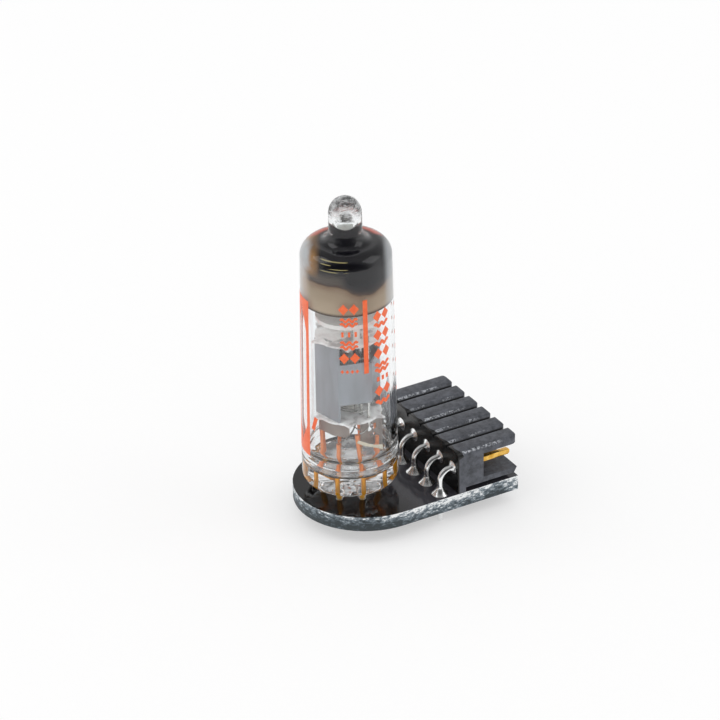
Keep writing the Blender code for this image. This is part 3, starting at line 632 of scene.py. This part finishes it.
def makeCore():
    # burnt residue shut in the glass over the end of the bore: a lens, half thickness *
    # (1 - (r / R)^2), whose rim is uneven by waves
    r = np.linspace(0.01, 1.0, 12)
    half = film["coreThickness"] / 2 * (1 - r ** 2) + 0.01
    profile = np.vstack([asPoints(r, -half), asPoints(r, half)[::-1]])
    ring = circle(64)
    radius = film["coreRadius"] * profile[:, :1] * (1 + 0.25 * waves(ring[:, 0], ring[:, 1], 0, 1.1))
    z = boreTop + film["coreLift"] + film["coreThickness"] / 2 + profile[:, 1:]
    points = asPoints(radius * ring[:, 0], radius * ring[:, 1], z)
    residue = makeGrained("burnt_residue", 2600.0, 4.0,
                          [(0.46, "#151111"), (0.58, "#3f352b"), (0.68, "#a79a80")], 0.7)
    addPiece("tip_core", gridMesh(points, wrapV=True, capped=True), residue)


makeFilm()
makeCore()
print("getter film made")


# Marking: plain figures for the print, all on the drawn bulb

marking = {
    "lift": 0.012,           # enamel stands this proud of the glass
    "frameSides": (-87.0, -57.6),  # the tall frame's two lines, degrees from the viewed side
    "frameWidths": (0.67, 0.50),
    # the frame's (height, share filled across) from the top
    "frame": [(24.3, 1.0), (23.5, 1.0), (22.8, 0.80), (22.0, 0.35), (20.8, 0.0),
              (10.0, 0.0), (9.2, 0.35), (8.5, 0.80), (7.8, 1.0), (6.7, 1.0)],
    # the columns: width of a stroke, degrees and size of the two diamonds side by side, their
    # heights, degrees, length and heights of the ripples, degrees and heights of the ticks
    "columns": [
        {"stroke": 0.25, "pair": (-4.5, 8.5), "diamond": 0.54, "diamonds": (24.35, 18.9), "middle": 2.0,
         "ripple": 1.75, "ripples": (23.15, 22.65, 20.6, 20.1), "ticks": (-6.0, 2.0, 10.0),
         "tick": (21.85, 21.3)},
        {"stroke": 0.34, "pair": (39.5, 53.0), "diamond": 0.56, "diamonds": (23.0, 20.9, 18.8, 14.6),
         "middle": 46.0, "ripple": 1.9, "ripples": (22.0, 19.9, 17.5, 16.9, 13.3),
         "ticks": (38.5, 46.0, 53.5), "tick": (16.2, 15.7)}],
    "dots": [(degrees, 17.4, 0.20) for degrees in (-7.0, -1.0, 5.0, 11.0)],
    "bar": (22.5, 0.52, 17.0, 25.2),       # degrees, width, from height, to height
    # a slanted patch by the frame, and ticks round the far side: ends, width
    "patches": [([(-48.5, 10.0), (-43.0, 11.5)], 0.46)]
    + [([(84.0, z), (84.0, z + 0.35)], 0.35) for z in np.arange(13.0, 24.0, 1.6)],
    "rippleHeight": 0.16,
    "periods": 2.5,          # of a ripple
}


def slabOnBulb(left, right):
    # a band between two edges of (degrees from the viewed side, height), wrapped on the tapered
    # bulb: P(u, v) = left(u) + v (right(u) - left(u)), closed underneath as a thin slab
    share = np.array([(0.0, 0.0), (0.0, 1.0), (0.25, 1.0), (0.5, 1.0), (0.75, 1.0), (1.0, 1.0), (1.0, 0.0),
                      (0.5, 0.0)])
    spot = left[:, None] + share[None, :, :1] * (right - left)[:, None]
    radius = bulbRadius(spot[..., 1]) + 0.001 + share[:, 1] * marking["lift"]
    angle = np.radians(spot[..., 0] + viewAngle)
    return asPoints(radius * np.cos(angle), radius * np.sin(angle), spot[..., 1])


def strokeOnBulb(points, width, steps=24):
    # a stroke of one width along points of (degrees, height): edges = path -/+ width / 2 across it
    toLength = np.array([math.radians(1.0) * baseRadius, 1.0])
    flat = np.asarray(points) * toLength
    where = np.linspace(0, len(flat) - 1, steps)
    path = asPoints(*(np.interp(where, np.arange(len(flat)), part) for part in flat.T))
    along = unit(np.gradient(path, axis=0))
    normal = asPoints(-along[:, 1], along[:, 0]) * width / 2
    return slabOnBulb((path - normal) / toLength, (path + normal) / toLength)


def diamondOnBulb(degrees, z, radius):
    # a filled four-cornered figure: half width = radius * (1 - |height| / radius)
    rise = np.linspace(-1, 1, 13)
    half = np.degrees(np.maximum(radius * (1 - np.abs(rise)), 0.03) / baseRadius)
    heights = z + radius * 1.1 * rise
    return slabOnBulb(asPoints(degrees - half, heights), asPoints(degrees + half, heights))


def waveOnBulb(degrees, z, length, width):
    # a level ripple: height = z + a sin(2 pi periods s) along its length
    s = np.linspace(0, 1, 48)
    run = asPoints(degrees + np.degrees((s - 0.5) * length / baseRadius),
                   z + marking["rippleHeight"] * np.sin(2 * math.pi * marking["periods"] * s))
    return strokeOnBulb(run, width, 96)


def tallFrame():
    # two upright lines joined by a solid patch at each end. The patches' inner edges run to a
    # point, by the share that is filled at each height.
    heights, fill = np.array(marking["frame"][::-1]).T
    fine = np.linspace(heights[0], heights[-1], 60)
    fill = np.interp(fine, heights, fill)
    for side, width, way in zip(marking["frameSides"], marking["frameWidths"], (1, -1)):
        half = math.degrees(width / 2 / baseRadius)
        middle = sum(marking["frameSides"]) / 2 + way * 0.1
        inner = side + way * half
        yield slabOnBulb(asPoints(side - way * half, fine), asPoints(inner + fill * (middle - inner), fine))


def makeMarking():
    strokes = [*tallFrame(), *(diamondOnBulb(*dot) for dot in marking["dots"])]
    for column in marking["columns"]:
        strokes += [diamondOnBulb(degrees, z, column["diamond"])
                    for z in column["diamonds"] for degrees in column["pair"]]
        strokes += [waveOnBulb(column["middle"], z, column["ripple"], column["stroke"])
                    for z in column["ripples"]]
        strokes += [strokeOnBulb([(degrees, z) for z in column["tick"]], column["stroke"])
                    for degrees in column["ticks"]]
    middle, width, low, high = marking["bar"]
    strokes.append(strokeOnBulb([(middle, low), (middle, high)], width, 20))
    strokes += [strokeOnBulb(*patch) for patch in marking["patches"]]
    count = 0
    faces = []
    for grid in strokes:
        index = count + np.arange(grid.size // 3).reshape(grid.shape[:2])
        faces += gridQuads(index, False, True) + [index[0, ::-1].tolist(), index[-1].tolist()]
        count += index.size
    # orange enamel, screened on the glass and fired: opaque, slightly satin, a little uneven
    enamel = makeGrained("fired_orange_enamel", 2200.0, 2.0, [(0.3, "#ea5f2e"), (0.7, "#f4713e")], 0.38,
                         bump=(0.3, 0.01))
    verts = np.vstack([grid.reshape(-1, 3) for grid in strokes])
    addPiece("marking", newMesh(verts, faces), enamel)


makeMarking()
print("marking made")


# Metals

def makeWireMaterial():
    # one wire with two finishes: bright hot-dipped tin on the tail, gold on the mating end
    material, tree, shader, place, (x, _, _) = newMaterial("tin_and_gold_plate")
    inSlot = addNode(tree, "Math", x, 10.0 * mm, operation="GREATER_THAN")
    mottled = addNode(tree, "TexNoise", place, Scale=1400.0, Detail=3.0)
    gold = addRamp(tree, mottled, [(0.35, "#c8932f"), (0.65, "#efc267")])
    tin = addRamp(tree, mottled, [(0.30, "#f0f1f1"), (0.70, "#fbfcfc")])
    bump = addNode(tree, "Bump", Strength=0.25, Distance=0.02 * mm, Height=mottled)
    setNode(shader, Base_Color=painted(tree, tin, (inSlot, gold)), Metallic=1.0, Roughness=0.22, Normal=bump)
    return material


def makeLeadMaterial():
    # copper-clad wire: amber where it is fused in glass, pinkish copper above it
    material, tree, shader, place, (_, _, z) = newMaterial("copper_clad_wire")
    share = addNode(tree, "MapRange", z, 1.0 * mm, 7.0 * mm)
    ramp = addRamp(tree, share, [(0.0, "#8b8780"), (0.09, "#8b8780"), (0.12, "#dba545"), (0.26, "#e09a26"),
                                 (0.56, "#e89a1c"), (0.64, "#ee8448"), (1.0, "#f5955e")])
    drawn = addNode(tree, "TexNoise", place, Scale=3000.0, Detail=1.0)
    bump = addNode(tree, "Bump", Strength=0.2, Distance=0.01 * mm, Height=drawn)
    setNode(shader, Base_Color=ramp, Metallic=0.55, Roughness=0.34, Normal=bump)
    return material


def makeSheet(name, dark, light, metallic, roughness, scale):
    # rolled or sprayed sheet: faint streaks along the rolling direction
    return makeGrained(name, scale, 3.0, [(0.30, dark), (0.70, light)], roughness, metallic, (0.2, 0.01),
                       0.25)


tinAndGold = makeWireMaterial()
copperClad = makeLeadMaterial()
# tin-lead solder, flowed and left bright, a little grainy
solder = makeGrained("flowed_solder", 1800.0, 3.0, [(0.30, "#eeefef"), (0.70, "#fbfcfc")], 0.22, 1.0,
                     (0.35, 0.03))
# the anode is carbonised, the lower shield oxidised, wires and ties bright. The lid is painted near white:
# painted light standing in for the light that its bare metal catches
carbonisedNickel = makeSheet("carbonised_nickel", "#94979c", "#a6aab1", 0.30, 0.42, 900.0)
shieldNickel = makeSheet("oxidised_nickel", "#8a7d76", "#a3968e", 0.45, 0.35, 900.0)
brightNickel = makeSheet("bright_nickel", "#b9b8b4", "#dad9d5", 1.0, 0.22, 1200.0)
lidPaintedLight = makeSheet("lid_painted_light", "#eeece8", "#f9f8f6", 0.0, 0.42, 1200.0)
# the cathode and the heater are sprayed white, the heater's tail is coated cream
oxideCoat = makeSheet("oxide_coating", "#dcd9d2", "#efece6", 0.0, 0.85, 2000.0)
oxideCream = makeSheet("cream_alumina", "#c9bda6", "#e6dcc9", 0.0, 0.7, 2400.0)

pin = {
    "radius": 0.30, "half": 0.30, "z": 4.2, "tailX": 6.8, "faceX": 8.28, "tipX": 14.95, "bend": 1.2,
    "flareRadius": 0.70, "flareRun": 0.55, "flarePower": 3.5, "taper": 0.22, "sides": 32,
    "cornerShare": 0.9,      # how square the gold end is between round and square
    "squareX": (8.29, 8.30, 11.0, 12.5),
}


def makePins():
    # each wire: down through the board, a quarter turn, a trumpet flare on the housing's face,
    # then a square end, as one swept section that goes from round to square
    ring = circle(pin["sides"], math.pi / pin["sides"])
    square = ring / np.abs(ring).max(axis=1, keepdims=True)
    soft = pin["cornerShare"] * square + (1 - pin["cornerShare"]) * ring
    bendCentre = (pin["tailX"] + pin["bend"], pin["z"] - pin["bend"])
    down = asPoints(pin["tailX"], np.linspace(wireEnd, bendCentre[1], 11)[:-1])
    curve = arcPoints(bendCentre, pin["bend"], 180, 90, 22)
    run = asPoints(np.linspace(curve[-1, 0], pin["faceX"], 11)[1:], pin["z"])
    endX = np.r_[pin["squareX"], pin["tipX"] - pin["taper"], pin["tipX"]]
    path = np.vstack([down, curve, run, asPoints(endX, pin["z"])])
    length = np.r_[0, np.cumsum(np.linalg.norm(np.diff(path, axis=0), axis=1))]
    flareEnd = length[len(path) - len(endX) - 1]
    share = np.clip(1 - (flareEnd - length) / pin["flareRun"], 0, 1)
    radius = pin["radius"] + (pin["flareRadius"] - pin["radius"]) * share ** pin["flarePower"]
    section = radius[:, None, None] * ring
    section[-len(endX):] = pin["half"] * soft
    section[-1] = (pin["half"] - pin["taper"] / 2) * soft
    for index, y in enumerate(wayPlaces, 1):
        mesh = swept(asPoints(path[:, 0], y, path[:, 1]), section)
        addPiece("pin_wire_%d" % index, mesh, tinAndGold, ("header_pin_%d" % index,))


joint = {
    "topHeight": 0.85, "topRadius": 0.86, "topPower": 1.8,
    "underHeight": 0.62, "underRadius": 0.78, "underPower": 2.2,
    "clearance": 0.015,      # round the wire
    "play": 0.12,            # between the wire and the hole's wall, filled with solder
    "bite": 0.05,            # how far the inner wall is sunk into the wire
}


def coneProfile(wire, radius, base, height, power):
    # the flowed fillet: radius falls from base to wire as (1 - s)^power up the height
    s = np.linspace(0, 1, 18)
    return asPoints(wire + (radius - wire) * (1 - s) ** power, base + height * s)


def makeJoints():
    # solder round each header tail, above and below the board, one closed turned body
    wire = pin["radius"] + joint["clearance"]
    top = coneProfile(wire, joint["topRadius"], boardTop + seamGap, joint["topHeight"], joint["topPower"])
    under = coneProfile(wire, joint["underRadius"], -seamGap, -joint["underHeight"], joint["underPower"])
    inHole = asPoints(wire + joint["play"], [-seamGap, boardTop + seamGap])
    inner = asPoints(wire - joint["bite"], [top[-1, 1], under[-1, 1]])
    profile = np.vstack([under[::-1], inHole, top, inner])
    for index, y in enumerate(wayPlaces, 1):
        mesh = turned(profile, 48, (pin["tailX"], y), closed=True)
        addPiece("tail_joint_%d" % index, mesh, solder, ("header_solder_%d" % index,))


lead = {
    "radius": 0.2,
    # each one's upper end: how far under the lower mica, degrees moved round the ring
    "ends": [(1.33, -9.0), (2.43, -2.0), (2.08, 3.0), (2.43, 4.0), (2.08, -4.0), (2.43, 2.0), (1.33, 0.0),
             (2.43, 1.0)],
    "topRing": 2.98,
}


def makeLeads():
    # each lead: straight up from below the board through its bead, then a slight lean
    for index, (degrees, (drop, turn)) in enumerate(zip(leadAngles, lead["ends"]), 1):
        top = onRing(lead["topRing"], degrees + turn, spacerUnderside - drop)
        stops = [onRing(leadRing, degrees, z) for z in (wireEnd, 0.6, boardTop - 0.1)]
        stops += [onRing(leadRingInGlass, degrees, z) for z in (glassFoot + 0.2, dishFloor, dishFloor + 0.45)]
        path = smoothPath([*stops, (stops[-1] + top) / 2, top], 72)
        mesh = swept(path, lead["radius"] * circle(20), (1.0, 0.0, 0.0))
        addPiece("tube_lead_%d" % index, mesh, copperClad, ("lead_%d" % index,))


makePins()
makeJoints()
makeLeads()
paintNode(["lead_solder_%d" % (index + 1) for index in range(len(leadAngles))], solder)
print("wires and joints made")


# Inside the bulb. Micas: split mica sprayed with magnesia, chalky white and blotchy.

sprayedMica = makeGrained("sprayed_mica", 750.0, 4.0,
                          [(0.36, "#b4afae"), (0.46, "#eae7e6"), (0.60, "#fdfdfc")], 0.45,
                          bump=(1.0, 0.12))
refined("upper_spacer", "upper_mica", sprayedMica, 0.03, ragged=0.05)
refined("lower_spacer", "lower_mica", sprayedMica, 0.03, ragged=0.05)
refined("anode_box", "anode", carbonisedNickel, 0.05)
# the lid's near-white colour is painted light, not the metal's own
refined("upper_lid", "upper_shield", lidPaintedLight, 0.05)

skirt = {
    "sheet": 0.12,
    # corners as (across, depth), from the left one towards the eye and on round
    "corners": [(-2.9, 1.57), (-0.09, 3.3), (3.25, 0.05), (1.2, -2.9), (-1.2, -3.1), (-2.9, -1.57)],
    # lower edge as (corner number, height)
    "edge": [(0.0, 9.25), (0.5, 8.95), (0.9, 9.05), (1.0, 9.5), (1.3, 7.95), (2.0, 6.4), (2.02, 8.8),
             (4.0, 8.8), (5.0, 9.3), (5.9, 9.3), (6.0, 9.02)],
    # openings as (from corner number, to corner number, from height, to height)
    "openings": [(1.02, 1.356, 0.0, 20.0), (1.57, 1.83, 8.65, 9.4), (1.64, 1.80, 7.98, 8.34)],
    "cells": (33, 361),
    "wave": 0.03,
}


def makeSkirt():
    # hung under the lower mica: P(u, v) = corner run(u) at a height from the edge(u) to the mica,
    # with the cells of each opening left out, then thickened
    corners = np.array(skirt["corners"] + skirt["corners"][:1])
    rows, columns = skirt["cells"]
    along = np.linspace(0, len(corners) - 1, columns)
    across, depth = (np.interp(along, np.arange(len(corners)), part) for part in corners.T)
    foot = np.interp(along, *np.array(skirt["edge"]).T)
    share = np.linspace(0, 1, rows)[:, None]
    height = foot + (spacerUnderside - 0.02 - foot) * share
    height = height + skirt["wave"] * waves(across, depth, height, 2.4) * (1 - share)
    mesh = gridMesh(fromView(across, depth, height)[:, :-1], wrapV=True)
    middle = (height[:-1, :-1] + height[1:, 1:]) / 2
    at = np.broadcast_to((along[:-1] + along[1:]) / 2, middle.shape)
    gone = np.zeros(middle.shape, bool)
    for start, end, low, high in skirt["openings"]:
        gone |= (at > start) & (at < end) & (middle > low) & (middle < high)
    bm = bmesh.new()
    bm.from_mesh(mesh)
    bm.faces.ensure_lookup_table()
    bmesh.ops.delete(bm, geom=[bm.faces[i] for i in np.flatnonzero(gone.ravel())], context="FACES")
    bm.to_mesh(mesh)
    bm.free()
    obj = addPiece("lower_skirt", mesh, shieldNickel, ("lower_shield",))
    solid = obj.modifiers.new("sheet", "SOLIDIFY")
    solid.thickness = skirt["sheet"] * mm
    solid.offset = 0.0


tail = {
    "halfSizes": (0.17, 0.05),
    "swell": 0.14,           # how far its width comes and goes
    # places as (across, depth, height)
    "stops": [(0.78, 3.08, 8.52), (1.35, 2.98, 8.20), (1.95, 2.62, 7.80), (2.62, 2.02, 7.34),
              (3.15, 1.48, 7.02)],
}


def makeCoatedTail():
    # the heater's coated tail, a flat ribbon laid from the first lead to the second
    path = smoothPath(fromView(*np.array(tail["stops"]).T), 48)
    swell = 1 + tail["swell"] * np.sin(np.linspace(0, 9, 48))[:, None, None]
    mesh = swept(path, circle(20) * tail["halfSizes"] * swell, (0.0, 0.0, 1.0))
    addPiece("coated_tail", mesh, oxideCream)


tie = {"radius": 0.09, "squeeze": 0.6}


def makeTie(name, strap):
    # a flattened wire from a lead's end up to an electrode, between the lowest and the highest
    # point of the strap it stands for: (1 - s)^2 start + 2 s (1 - s) corner + s^2 end
    spots = readSpots(nodes[strap].data)
    start = spots[spots[:, 2] < spots[:, 2].min() + 0.12].mean(axis=0)
    end = spots[spots[:, 2] > spots[:, 2].max() - 0.02].mean(axis=0)
    corner = np.array([end[0], end[1], start[2]])
    s = np.linspace(0, 1, 28)[:, None]
    path = (1 - s) ** 2 * start + 2 * s * (1 - s) * corner + s ** 2 * end
    section = tie["radius"] * circle(16) * (1.0, tie["squeeze"])
    addPiece(name, swept(path, section, (0.0, 1.0, 0.3)), brightNickel, (strap,))


makeSkirt()
makeCoatedTail()
for end in ("suppressor%s", "control%s", "screen%s", "heater%s_1", "heater%s_2"):
    makeTie(end % "_tie", end % "_strap")
paintNode(["control_grid", "screen_grid", "suppressor_grid", "getter_ring"], brightNickel)
paintNode(["cathode_sleeve", "heater"], oxideCoat)
print("electrodes dressed")


# Header: glass-filled PBT, moulded, handled, with dust on it. Blue-grey on its worn top, black and shiny
# towards the tube, pale scuffs and a painted highlight along the finger edges.

def makeMouldedMaterial():
    material, tree, shader, place, (x, y, z) = newMaterial("moulded_pbt")
    dust = addNode(tree, "TexNoise", place, Scale=1500.0, Detail=6.0, Roughness=0.7)
    body = addRamp(tree, dust, [(0.34, "#35373d"), (0.62, "#585b63")])
    onTop = addNode(tree, "Math", z, 5.70 * mm, operation="GREATER_THAN")
    # place across each finger, from 0 to 1
    across = addNode(tree, "Math", y, 1.0 / (pitch * mm), ways / 2, operation="MULTIPLY_ADD")
    way = addNode(tree, "Math", across, operation="FRACT")
    # scuffs and painted highlight: fine pale specks, partly wear and partly a painted highlight where each
    # finger's rounded near edge catches the light, kept to a band just inside that edge, which thin out
    # towards the finger tips
    band = addRamp(tree, way, [(0.0, 0.0), (0.078, 0.0), (0.10, 1.0), (0.16, 1.0), (0.21, 0.0)])
    specks = addNode(tree, "TexNoise", place, Scale=4600.0, Detail=4.0, Roughness=0.75)
    sharp = addRamp(tree, specks, [(0.49, 0.0), (0.55, 1.0)])
    patchNoise = addNode(tree, "TexNoise", place, Scale=420.0, Detail=2.0)
    patch = addRamp(tree, patchNoise, [(0.36, 0.0), (0.50, 1.0)])
    nearBlock = addNode(tree, "MapRange", x, 14.2 * mm, 12.6 * mm)
    scuffAndPaintedHighlight = product(tree, band, sharp, patch, nearBlock, onTop)
    # painted shade: the grooves between the fingers are painted black
    groove = addRamp(tree, way, [(0.0, 1.0), (0.066, 1.0), (0.088, 0.0), (0.95, 0.0), (0.965, 1.0),
                                 (1.0, 1.0)])
    sideways = addNode(tree, "Math", y, operation="ABSOLUTE")
    between = addNode(tree, "Math", sideways, 7.0 * mm, operation="LESS_THAN")
    paintedGrooveShade = product(tree, groove, onTop, between)
    # the face towards the tube is black and glossy, and the black reaches a little way over the top, furthest
    # along the grooves
    lobe = addNode(tree, "Math", product(tree, way, math.pi), operation="SINE")
    blackReach = addNode(tree, "Math", lobe, -0.50 * mm, 8.84 * mm, operation="MULTIPLY_ADD")
    blackReach = addNode(tree, "Math", patchNoise, 0.30 * mm, blackReach, operation="MULTIPLY_ADD")
    level = addNode(tree, "MapRange", z, 5.6 * mm, 5.8 * mm, 8.42 * mm, blackReach)
    blackFace = addNode(tree, "Math", x, level, operation="LESS_THAN")
    colour = painted(tree, body, (scuffAndPaintedHighlight, "#b9bdc3"), (paintedGrooveShade, "#0d0d0f"), (blackFace, "#060606"))
    rough = addNode(tree, "MapRange", blackFace, To_Min=0.50, To_Max=0.26)
    fine = addNode(tree, "TexNoise", place, Scale=6000.0, Detail=2.0)
    bump = addNode(tree, "Bump", Strength=0.25, Distance=0.01 * mm, Height=fine)
    setNode(shader, Base_Color=colour, Roughness=rough, Normal=bump)
    return material


refined("header_moulding", "header_housing", makeMouldedMaterial(), 0.07, segments=3)
print("header dressed")


# Board: fibreglass laminate under black gloss solder mask. The sheared edge shows pale fibres
# through rubbed dark paint.

def makeMaskMaterial():
    material, tree, shader, place, (x, _, _) = newMaterial("black_solder_mask")
    cloud = addNode(tree, "TexNoise", place, Scale=240.0, Detail=3.0)
    ramp = addRamp(tree, cloud, [(0.35, "#0b0909"), (0.70, "#121011")])
    # the board turns a dull grey from between the tube and the header onwards, towards the header
    wide = addNode(tree, "Math", cloud, 3.0 * mm, x, operation="MULTIPLY_ADD")
    rough = addNode(tree, "MapRange", cloud, To_Min=0.05, To_Max=0.14)
    setNode(shader, Base_Color=painted(tree, ramp, (faded(tree, (wide, 3.0, 6.5, 0.8)), "#3f3e44")),
            Roughness=rough)
    return material


def makeLaminateMaterial():
    # glass fibre ends of 0.1 to 0.3 mm show white through dark blue-grey resin, more of them
    # towards the upper rim and along the straight sides
    material, tree, shader, place, (x, _, z) = newMaterial("sheared_laminate")
    layers = addNode(tree, "Mapping", place, Scale=(1.0, 1.0, 2.6))
    fibres = addNode(tree, "TexNoise", layers, Scale=1800.0, Detail=5.0, Roughness=0.76)
    bare = addNode(tree, "TexNoise", place, Scale=330.0, Detail=2.0)
    rim, side = (addNode(tree, "MapRange", axis, start * mm, end * mm, least, most)
                 for axis, start, end, least, most in ((z, 0.2, 1.6, -0.09, 0.13),
                                                       (x, 0.0, 10.0, -0.03, 0.05)))
    more = addNode(tree, "Math", rim, side, operation="ADD")
    share = addNode(tree, "Math", bare, 0.35, more, operation="MULTIPLY_ADD")
    share = addNode(tree, "Math", fibres, share, operation="ADD")
    share = addNode(tree, "Math", share, 0.20, operation="SUBTRACT")
    ramp = addRamp(tree, share, [(0.40, "#2e373b"), (0.49, "#56626a"), (0.57, "#87929a"), (0.64, "#f4f6f6")])
    bump = addNode(tree, "Bump", Strength=0.6, Distance=0.04 * mm, Height=fibres)
    setNode(shader, Base_Color=ramp, Roughness=0.55, Normal=bump)
    return material


def makeBoard():
    materials = [makeMaskMaterial(), makeLaminateMaterial()]
    board = refined("carrier_board", "circuit_board", materials, 0.06)
    normals = np.zeros(len(board.data.polygons) * 3)
    board.data.polygons.foreach_get("normal", normals)
    upright = np.abs(normals.reshape(-1, 3)[:, 2]) < 0.5
    board.data.polygons.foreach_set("material_index", upright.astype(np.int32))
    board.modifiers["edges"].material = 1


makeBoard()
print("board dressed")


# Studio: white floor and backdrop, even light from all round and two large soft boxes

studio = {
    "floorSize": 3000.0,
    "horizon": 1.08,         # light from all round, less of it from straight above
    "zenith": 0.72,
    "fromBelow": 0.45,       # share of the floor's white that no shadow falls on
    "dimmest": 0.12,         # what gloss shows of the unlit room behind the camera
    "ceiling": 0.38,         # what gloss shows straight above
    "leftWatts": 1.3,
    "rightWatts": 1.0,
    "lampSize": 600.0,
    "lampDistance": 1000.0,
}


def whereSeen(tree):
    # 1 for what the camera, gloss and clear glass see, 0 for the light on the object
    path = addNode(tree, "LightPath")
    seen = addNode(tree, "Math", (path, "Is Camera Ray"), (path, "Is Glossy Ray"), operation="MAXIMUM")
    return path, addNode(tree, "Math", seen, (path, "Is Transmission Ray"), operation="MAXIMUM")


def makeFloor():
    material, tree, shader, *_ = newMaterial("white_sweep")
    _, seen = whereSeen(tree)
    flat = addNode(tree, "BsdfDiffuse", Color=painted(tree, grey(0.92), (seen, grey(1.0))))
    # part of the white comes from below, as on a lit sweep, so that the shadow stays light
    glow = addNode(tree, "Emission", Color=grey(1.0), Strength=1.0)
    share = product(tree, seen, studio["fromBelow"])
    sweep = addNode(tree, "MixShader", share, flat, glow)
    setNode(tree.nodes["Material Output"], Surface=sweep)
    tree.nodes.remove(shader)
    size = studio["floorSize"]
    corners = np.array([(-size, -size, wireEnd), (size, -size, wireEnd), (size, size, wireEnd),
                        (-size, size, wireEnd)])
    floor = placed("floor", newMesh(corners, [(0, 1, 2, 3)]))
    floor.data.materials.append(material)


def makeWorld():
    # a white sweep behind the object that fades upwards, and a dark room behind the camera.
    # Only gloss and clear glass show the dark room, only gloss the darker ceiling, and the light
    # on the object stays even.
    world = bpy.data.worlds.new("studio")
    world.use_nodes = True
    bpy.context.scene.world = world
    tree = world.node_tree
    place = (addNode(tree, "TexCoord"), "Generated")
    height = (addNode(tree, "SeparateXYZ", place), "Z")
    front = math.radians(viewAngle)
    facing = (addNode(tree, "VectorMath", place, (math.cos(front), math.sin(front), 0.0),
                      operation="DOT_PRODUCT"), "Value")
    room, ceiling = (addNode(tree, "MapRange", measure, start, end, 1.0, least,
                             interpolation_type="SMOOTHSTEP")
                     for measure, start, end, least in ((facing, 0.20, 0.68, studio["dimmest"]),
                                                        (height, 0.10, 0.80, studio["ceiling"])))
    path, seen = whereSeen(tree)
    overhead = addNode(tree, "Mix", (path, "Is Glossy Ray"), None, 1.0, ceiling)
    ambient = addNode(tree, "MapRange", height, To_Min=studio["horizon"], To_Max=studio["zenith"])
    inGloss = addNode(tree, "Mix", seen, None, ambient, product(tree, room, overhead))
    strength = addNode(tree, "Mix", (path, "Is Camera Ray"), None, inGloss, 1.0)
    setNode(tree.nodes["Background"], Color=grey(1.0), Strength=strength)


def addLamp(name, aside, rise, watts):
    # aside is in degrees from the side that the camera stands on
    turn, tilt = math.radians(viewAngle + aside), math.radians(rise)
    toLamp = Vector((math.cos(turn) * math.cos(tilt), math.sin(turn) * math.cos(tilt), math.sin(tilt)))
    data = bpy.data.lights.new(name, "AREA")
    data.shape = "SQUARE"
    data.size = studio["lampSize"] * mm
    data.energy = watts
    lamp = placed(name, data)
    lamp.location = toLamp * studio["lampDistance"] * mm
    lamp.rotation_euler = (-toLamp).to_track_quat("-Z", "Y").to_euler()


# solved from the photograph: turn, height, roll, distance in mm, focal length in pixels, and
# where the tube's axis meets the board's top in the square frame of that many pixels
view = {"turn": -29.49, "rise": 29.46, "roll": 1.106, "distance": 412.57, "focal": 4050.7,
        "at": (350.70, 483.91), "pixels": 720, "sensor": 36.0}


def makeCamera():
    a, e, r = (math.radians(view[key]) for key in ("turn", "rise", "roll"))
    right = np.array([math.cos(a), math.sin(a), 0.0])
    look = np.array([-math.sin(a) * math.cos(e), math.cos(a) * math.cos(e), -math.sin(e)])
    up = np.cross(right, look)
    rightR = math.cos(r) * right - math.sin(r) * up
    upR = math.sin(r) * right + math.cos(r) * up
    scale = view["focal"] / view["distance"]
    offX, offY = ((part - view["pixels"] / 2) / scale for part in view["at"])
    place = np.array([0, 0, boardTop]) - offX * rightR + offY * upR - view["distance"] * look
    data = bpy.data.cameras.new("camera")
    data.sensor_width = view["sensor"]
    data.lens = view["focal"] / view["pixels"] * view["sensor"]
    data.clip_start = 0.01
    camera = placed("camera", data)
    turn = Matrix(np.column_stack([rightR, upR, -look]).tolist())
    camera.matrix_world = Matrix.Translation(Vector(place.tolist()) * mm) @ turn.to_4x4()
    bpy.context.scene.camera = camera


makeFloor()
makeWorld()
addLamp("left_box", -88, 48, studio["leftWatts"])
addLamp("right_box", 84, 42, studio["rightWatts"])
makeCamera()
bpy.context.scene.view_settings.view_transform = "Standard"
print("studio made")
